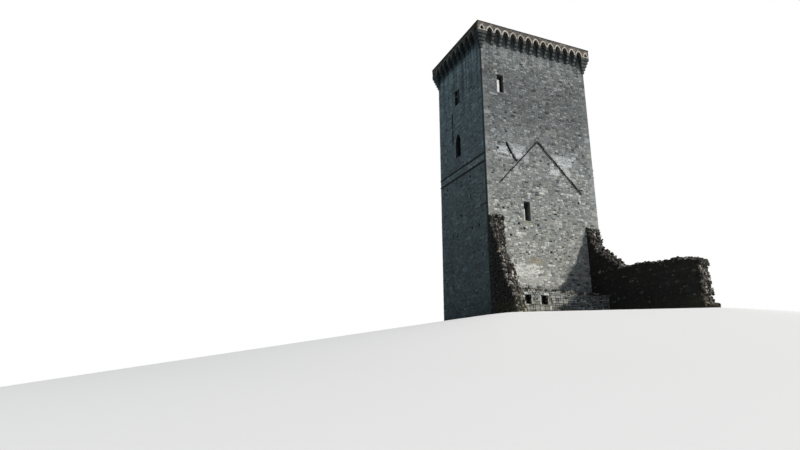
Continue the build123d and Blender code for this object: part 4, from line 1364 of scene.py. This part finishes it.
MOULDING_FACES = ring_faces(MOULDING_STEPS + 1, len(ROLL_PROFILE))
crown_planes = {face: plane.moved(OVERHANG) for face, (plane, _) in FACES.items()}
moulded = []
for face, (plane, half) in FACES.items():
    pitch = arch_pitch(face)
    niche_at = (half + OVERHANG + ARCHES[face] * pitch / 2) / 2
    strips = [moulding((i - (ARCHES[face] - 1) / 2) * pitch, CROWN_FOOT, pitch - CORBEL_WIDTH, ARCH_RISE)
              for i in range(ARCHES[face])]
    strips += [moulding(side * niche_at, CROWN_FOOT + NICHE_FOOT, *NICHE) for side in (-1, 1)]
    strips = np.concatenate(strips)
    tones = np.repeat(rng.uniform(0, 1, len(strips) // 2), 2)
    moulded.append((crown_planes[face].place(strips), MOULDING_FACES, tones))
    reach = half + OVERHANG - niche_at
    feet = []
    for side in (-1, 1):
        middle = side * niche_at
        feet.append((middle - reach, middle + reach, CROWN_FOOT, CROWN_FOOT + NICHE_SILL, 0, MOULDING_PROUD))
        for edge in (-1, 1):
            jamb = sorted((middle + edge * NICHE[0] / 2, middle + edge * (NICHE[0] / 2 + MOULDING_WIDTH)))
            feet.append((*jamb, CROWN_FOOT + NICHE_SILL, CROWN_FOOT + NICHE_FOOT, 0, MOULDING_PROUD))
    moulded.append(blocks(feet, crown_planes[face], joint=0.0, wobble=0.001, tone=0.4))
lay("moulded_arch_stones", moulded, MOULDED, stands_for=("arch_mouldings",))

# %% Build up the parapet and its coping
PARAPET_ROWS = 2
PARAPET_LENGTH = (0.28, 0.62)
PARAPET_PROUD = (0.008, 0.03)
COPING_LENGTH = (0.55, 0.95)
PARAPET_INNER = -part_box("front_arcade")[1].y - HALF_DEPTH
COPING_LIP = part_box("parapet_coping")[1].x - HALF_WIDTH - OVERHANG
SKIN_BED = 0.04

parapet_groups, coping_groups = [], []
row_height = (COPING_LOW - WALK_Z) / PARAPET_ROWS
for face, (plane, half) in FACES.items():
    long_face = face in ("front", "back")
    inward = Plane(plane.origin + PARAPET_INNER * plane.n, -plane.u, plane.v, -plane.n)
    for side_plane, run in ((crown_planes[face], half + OVERHANG), (inward, half + PARAPET_INNER)):
        for row in range(PARAPET_ROWS):
            low = WALK_Z + row * row_height
            parapet_groups.append(blocks(
                [(a, b, low, low + row_height, -SKIN_BED, rng.uniform(*PARAPET_PROUD))
                 for a, b in cut_run(-run, run, PARAPET_LENGTH)], side_plane))
    run = half + OVERHANG + COPING_LIP if long_face else half + PARAPET_INNER - COPING_LIP
    coping_groups.append(blocks(
        [(a, b, COPING_LOW, COPING_TOP, PARAPET_INNER - COPING_LIP, OVERHANG + COPING_LIP)
         for a, b in cut_run(-run, run, COPING_LENGTH)], plane, chamfer=0.02, wobble=0.002, tone=0.5))
lay("parapet_stones", parapet_groups, PARAPET_STONE)
lay("coping_slabs", coping_groups, COPING_STONE, stands_for=("parapet_coping",))

# %% [markdown]
# ## Terrace and roofs lost
# Flagstones pave the terrace, laid in rows from kerb to kerb. Lower down, the front face still carries the
# drip stones of the hall's gable roof, and the side faces their string courses. All were single stones, so
# each line is laid block by block on the solid line that it replaces.

# %% Pave the terrace and lay the drip stones
FLAG_ROWS = 12
FLAG_LENGTH = (0.6, 1.2)
FLAG_PROUD = (0.004, 0.014)
DRIP_LENGTH = (0.3, 0.7)
DRIP_WORN = (0.6, 1.25)
STRING_LENGTH = (0.6, 1.0)
KERB_SKIN = 0.012

paved, _ = node_mesh("terrace_paving")
kerb_inside = np.abs(paved[paved[:, 2] > COPING_LOW - TOUCH]).min(axis=0)
kerb = HALF_WIDTH - kerb_inside[0]
kerb_groups = []
for face, (plane, half) in FACES.items():
    run = half if face in ("front", "back") else half - kerb
    kerb_groups.append(blocks(
        [(a, b, WALK_Z - SKIN_BED, COPING_LOW + KERB_SKIN, -kerb - KERB_SKIN, KERB_SKIN)
         for a, b in cut_run(-run, run, COPING_LENGTH)], plane, chamfer=0.02, wobble=0.002))
lay("kerb_stones", kerb_groups, PARAPET_STONE)

terrace = Plane((0, 0, WALK_Z), (1, 0, 0), (0, 1, 0), UP)
flags = []
rows = np.linspace(-kerb_inside[1], kerb_inside[1], FLAG_ROWS + 1)
for low, high in zip(rows, rows[1:]):
    flags += [(a, b, low, high, -SKIN_BED, rng.uniform(*FLAG_PROUD))
              for a, b in cut_run(-kerb_inside[0], kerb_inside[0], FLAG_LENGTH)]
lay("terrace_flags", [blocks(flags, terrace, chamfer=0.01, tone=0.5)], PAVING)


def solids_on(node, plane):
    """The corners of each solid of a node that lies against a plane, in the plane's own directions."""
    corners, triangles = node_mesh(node)
    groups = linked(to_plane(corners, plane), triangles, False)
    return [g for g in groups if abs(g[:, 2].min()) < TOUCH]


front = FACES["front"][0]
gable = to_plane(node_mesh("roof_weathering")[0], front)
apex, proud = gable[:, 1].max(), gable[:, 2].max()
middle = gable[gable[:, 1].argmax(), 0]
apex_drop = apex - gable[np.abs(gable[:, 0] - middle) < TOUCH][:, 1].min()
drips = []
for end in (gable[:, 0].min(), gable[:, 0].max()):
    foot = gable[np.abs(gable[:, 0] - end) < TOUCH][:, 1]
    for a, b in cut_run(*sorted((end, middle)), DRIP_LENGTH):
        share = [abs(u - end) / abs(middle - end) for u in (a, b)]
        tops = [foot.max() + s * (apex - foot.max()) for s in share]
        thick = [np.ptp(foot) + s * (apex_drop - np.ptp(foot)) for s in share]
        drips.append(((a, tops[0] - thick[0]), (b, tops[1] - thick[1]), (b, tops[1]), (a, tops[0])))
depths = [(-SKIN_BED, proud * rng.uniform(*DRIP_WORN)) for _ in drips]
drip_stones = shaped_blocks(drips, depths, front, chamfer=0.02, joint=0.02, wobble=0.012, tone=0.4)
lay("gable_drip_stones", [drip_stones], DRIP_STONE, stands_for=("roof_weathering",))

string_groups = []
for face in ("left", "right"):
    plane = FACES[face][0]
    sections = Plane(plane.origin, plane.n, plane.v, -plane.u)
    for solid in solids_on("string_courses", plane):
        (start, low, _), (end, high, out) = solid.min(axis=0), solid.max(axis=0)
        runs = cut_run(-end, -start, STRING_LENGTH)
        outline = ((0, low), (out, low), (out, (low + high) / 2), (0, high))
        string_groups.append(shaped_blocks([outline] * len(runs), runs, sections, joint=0.0, tone=0.5))
lay("string_stones", string_groups, STRING_STONE, stands_for=("string_courses",))

# %% [markdown]
# ## Floor, light and camera
# The camera looks up at the keep from below its foot. So the floor is a pale mound, level under the walls
# and falling away round them, that turns into the white of the background further out. One broad soft sun
# from the right lights the front, and the left side is left to the sky.

# %% Floor
MOUND_ROUND = 1.5
MOUND_SLOPE = 0.16
MOUND_SPOKES = 128
MOUND_REACH = 260.0
# The rings of the mound, evenly spaced as far as this, and how many more there are beyond
EVEN_REACH = 24
EVEN_STEP = 0.5
FAR_RINGS = 40
FADE = (40.0, 120.0)
WHITE = (1, 1, 1, 1)
FOOTPRINT = np.array([
    (-HALF_WIDTH, HALF_DEPTH), (HALF_WIDTH, HALF_DEPTH), (HALF_WIDTH, -TORN_REACH["right"]),
    (TORN_INNER["right"], -TORN_REACH["right"]), (-HALF_WIDTH, -TORN_REACH["left"]),
])


def outside(points):
    """How far points lie outside the footprint."""
    best = np.full(len(points), np.inf)
    inside = np.ones(len(points), bool)
    for a, b in zip(FOOTPRINT, np.roll(FOOTPRINT, -1, axis=0)):
        edge = b - a
        share = np.clip((points - a) @ edge / (edge @ edge), 0, 1)
        best = np.minimum(best, np.linalg.norm(points - a - share[:, None] * edge, axis=1))
        inside &= (points - a) @ (edge[1], -edge[0]) >= 0
    return np.where(inside, 0, best)


def make_floor():
    """The mound, as rings of corners round the middle of the footprint."""
    middle = FOOTPRINT.mean(axis=0)
    near, far = np.arange(1, EVEN_REACH, EVEN_STEP), np.geomspace(EVEN_REACH, MOUND_REACH, FAR_RINGS)
    radii = np.concatenate([near, far])
    turns = np.linspace(0, math.tau, MOUND_SPOKES, endpoint=False)
    flat = middle + (radii[:, None, None] * np.stack([np.cos(turns), np.sin(turns)], axis=1)).reshape(-1, 2)
    flat = np.vstack([middle, flat])
    away = outside(flat)
    height = -(np.hypot(away, MOUND_ROUND) - MOUND_ROUND) * MOUND_SLOPE
    spokes = [(i, (i + 1) % MOUND_SPOKES) for i in range(MOUND_SPOKES)]
    faces = [(0, 1 + i, 1 + j) for i, j in spokes]
    for r in range(len(radii) - 1):
        a, b = 1 + r * MOUND_SPOKES, 1 + (r + 1) * MOUND_SPOKES
        faces += [(a + i, b + i, b + j, a + j) for i, j in spokes]
    mesh = bpy.data.meshes.new("floor")
    mesh.from_pydata([(x, y, z) for (x, y), z in zip(flat, height)], [], faces)
    mesh.shade_smooth()
    floor = new_object("floor", mesh)
    return floor


def floor_material():
    """Pale plaster that fades to the white of the background, for the camera alone."""
    material, tree, place = new_material("pale_studio_floor")
    shader = tree.nodes["Principled BSDF"]
    feed(tree, shader.inputs["Base Color"], linear("#e4e3e0"))
    feed(tree, shader.inputs["Roughness"], 0.95)
    fade = add(tree, "MapRange", add(tree, "VectorMath", place, operation="LENGTH"), *FADE)
    path = add(tree, "LightPath")
    seen = add(tree, "Math", fade, path.outputs["Is Camera Ray"], operation="MULTIPLY")
    mix = add(tree, "MixShader", seen, shader, add(tree, "Emission", Color=WHITE, Strength=1.0))
    feed(tree, tree.nodes["Material Output"].inputs["Surface"], mix)
    return material


floor = make_floor()
floor.data.materials.append(floor_material())
print("floor faces:", len(floor.data.polygons))

# %% Light
SKY_STRENGTH = 0.27
SUN_STRENGTH = 5.4
SUN_SIZE = 5.0
SUN_FROM = (57.0, 28.0)   # degrees round from the front towards the right, and above the horizon


def make_world():
    """Soft, slightly cool light from all round, which the camera sees as plain white."""
    world = bpy.data.worlds.new("studio")
    bpy.context.scene.world = world
    world.use_nodes = True
    tree = world.node_tree
    light = tree.nodes["Background"]
    feed(tree, light.inputs["Color"], linear("#d2e3ff"))
    feed(tree, light.inputs["Strength"], SKY_STRENGTH)
    white = add(tree, "Background", Color=WHITE, Strength=1.0)
    path = add(tree, "LightPath")
    seen = path.outputs["Is Camera Ray"]
    for ray in ("Is Glossy Ray", "Is Transmission Ray"):
        seen = add(tree, "Math", seen, path.outputs[ray], operation="MAXIMUM")
    mix = add(tree, "MixShader", seen, light, white)
    feed(tree, tree.nodes["World Output"].inputs["Surface"], mix)


make_world()
azimuth, elevation = (math.radians(a) for a in SUN_FROM)
to_sun = Vector((math.sin(azimuth) * math.cos(elevation), -math.cos(azimuth) * math.cos(elevation),
                 math.sin(elevation)))
sun = new_object("sun", bpy.data.lights.new("sun", "SUN"))
sun.data.energy = SUN_STRENGTH
sun.data.angle = math.radians(SUN_SIZE)
sun.data.color = linear("#fffcf7")[:3]
sun.rotation_mode = "QUATERNION"
sun.rotation_quaternion = to_sun.to_track_quat("Z", "Y")
print("sun from", SUN_FROM, "degrees, sky strength", SKY_STRENGTH)

# %% Camera
# Found from the tower's own edges: where it stood, which way it looked, how far up, and its slight lean.
CAMERA_AT = (-33.3686, -46.2139, -4.2139)
CAMERA_HEADING = 67.214
CAMERA_PITCH = 14.838
CAMERA_LEAN = -0.0859
LENS = 23.622
SENSOR = 36.0

camera = new_object("camera", bpy.data.cameras.new("camera"))
camera.data.lens = LENS
camera.data.sensor_width = SENSOR
camera.data.clip_end = 1000.0
camera.location = CAMERA_AT
turn = (Matrix.Rotation(math.radians(CAMERA_HEADING - 90), 3, "Z")
        @ Matrix.Rotation(math.radians(90 + CAMERA_PITCH), 3, "X")
        @ Matrix.Rotation(math.radians(CAMERA_LEAN), 3, "Z"))
camera.rotation_mode = "QUATERNION"
camera.rotation_quaternion = turn.to_quaternion()
bpy.context.scene.camera = camera
bpy.context.scene.view_settings.view_transform = "Standard"
print("camera at", CAMERA_AT, "with a lens of", LENS, "mm")

# %% [markdown]
# ## Size
# The stones must not make the keep larger than its solids, so every corner that a piece lays is clipped to
# the box of the solids.

# %% Count the pieces and their triangles
print("pieces:", len(PIECES), "triangles:", sum(len(p.data.loop_triangles) for p in PIECES))
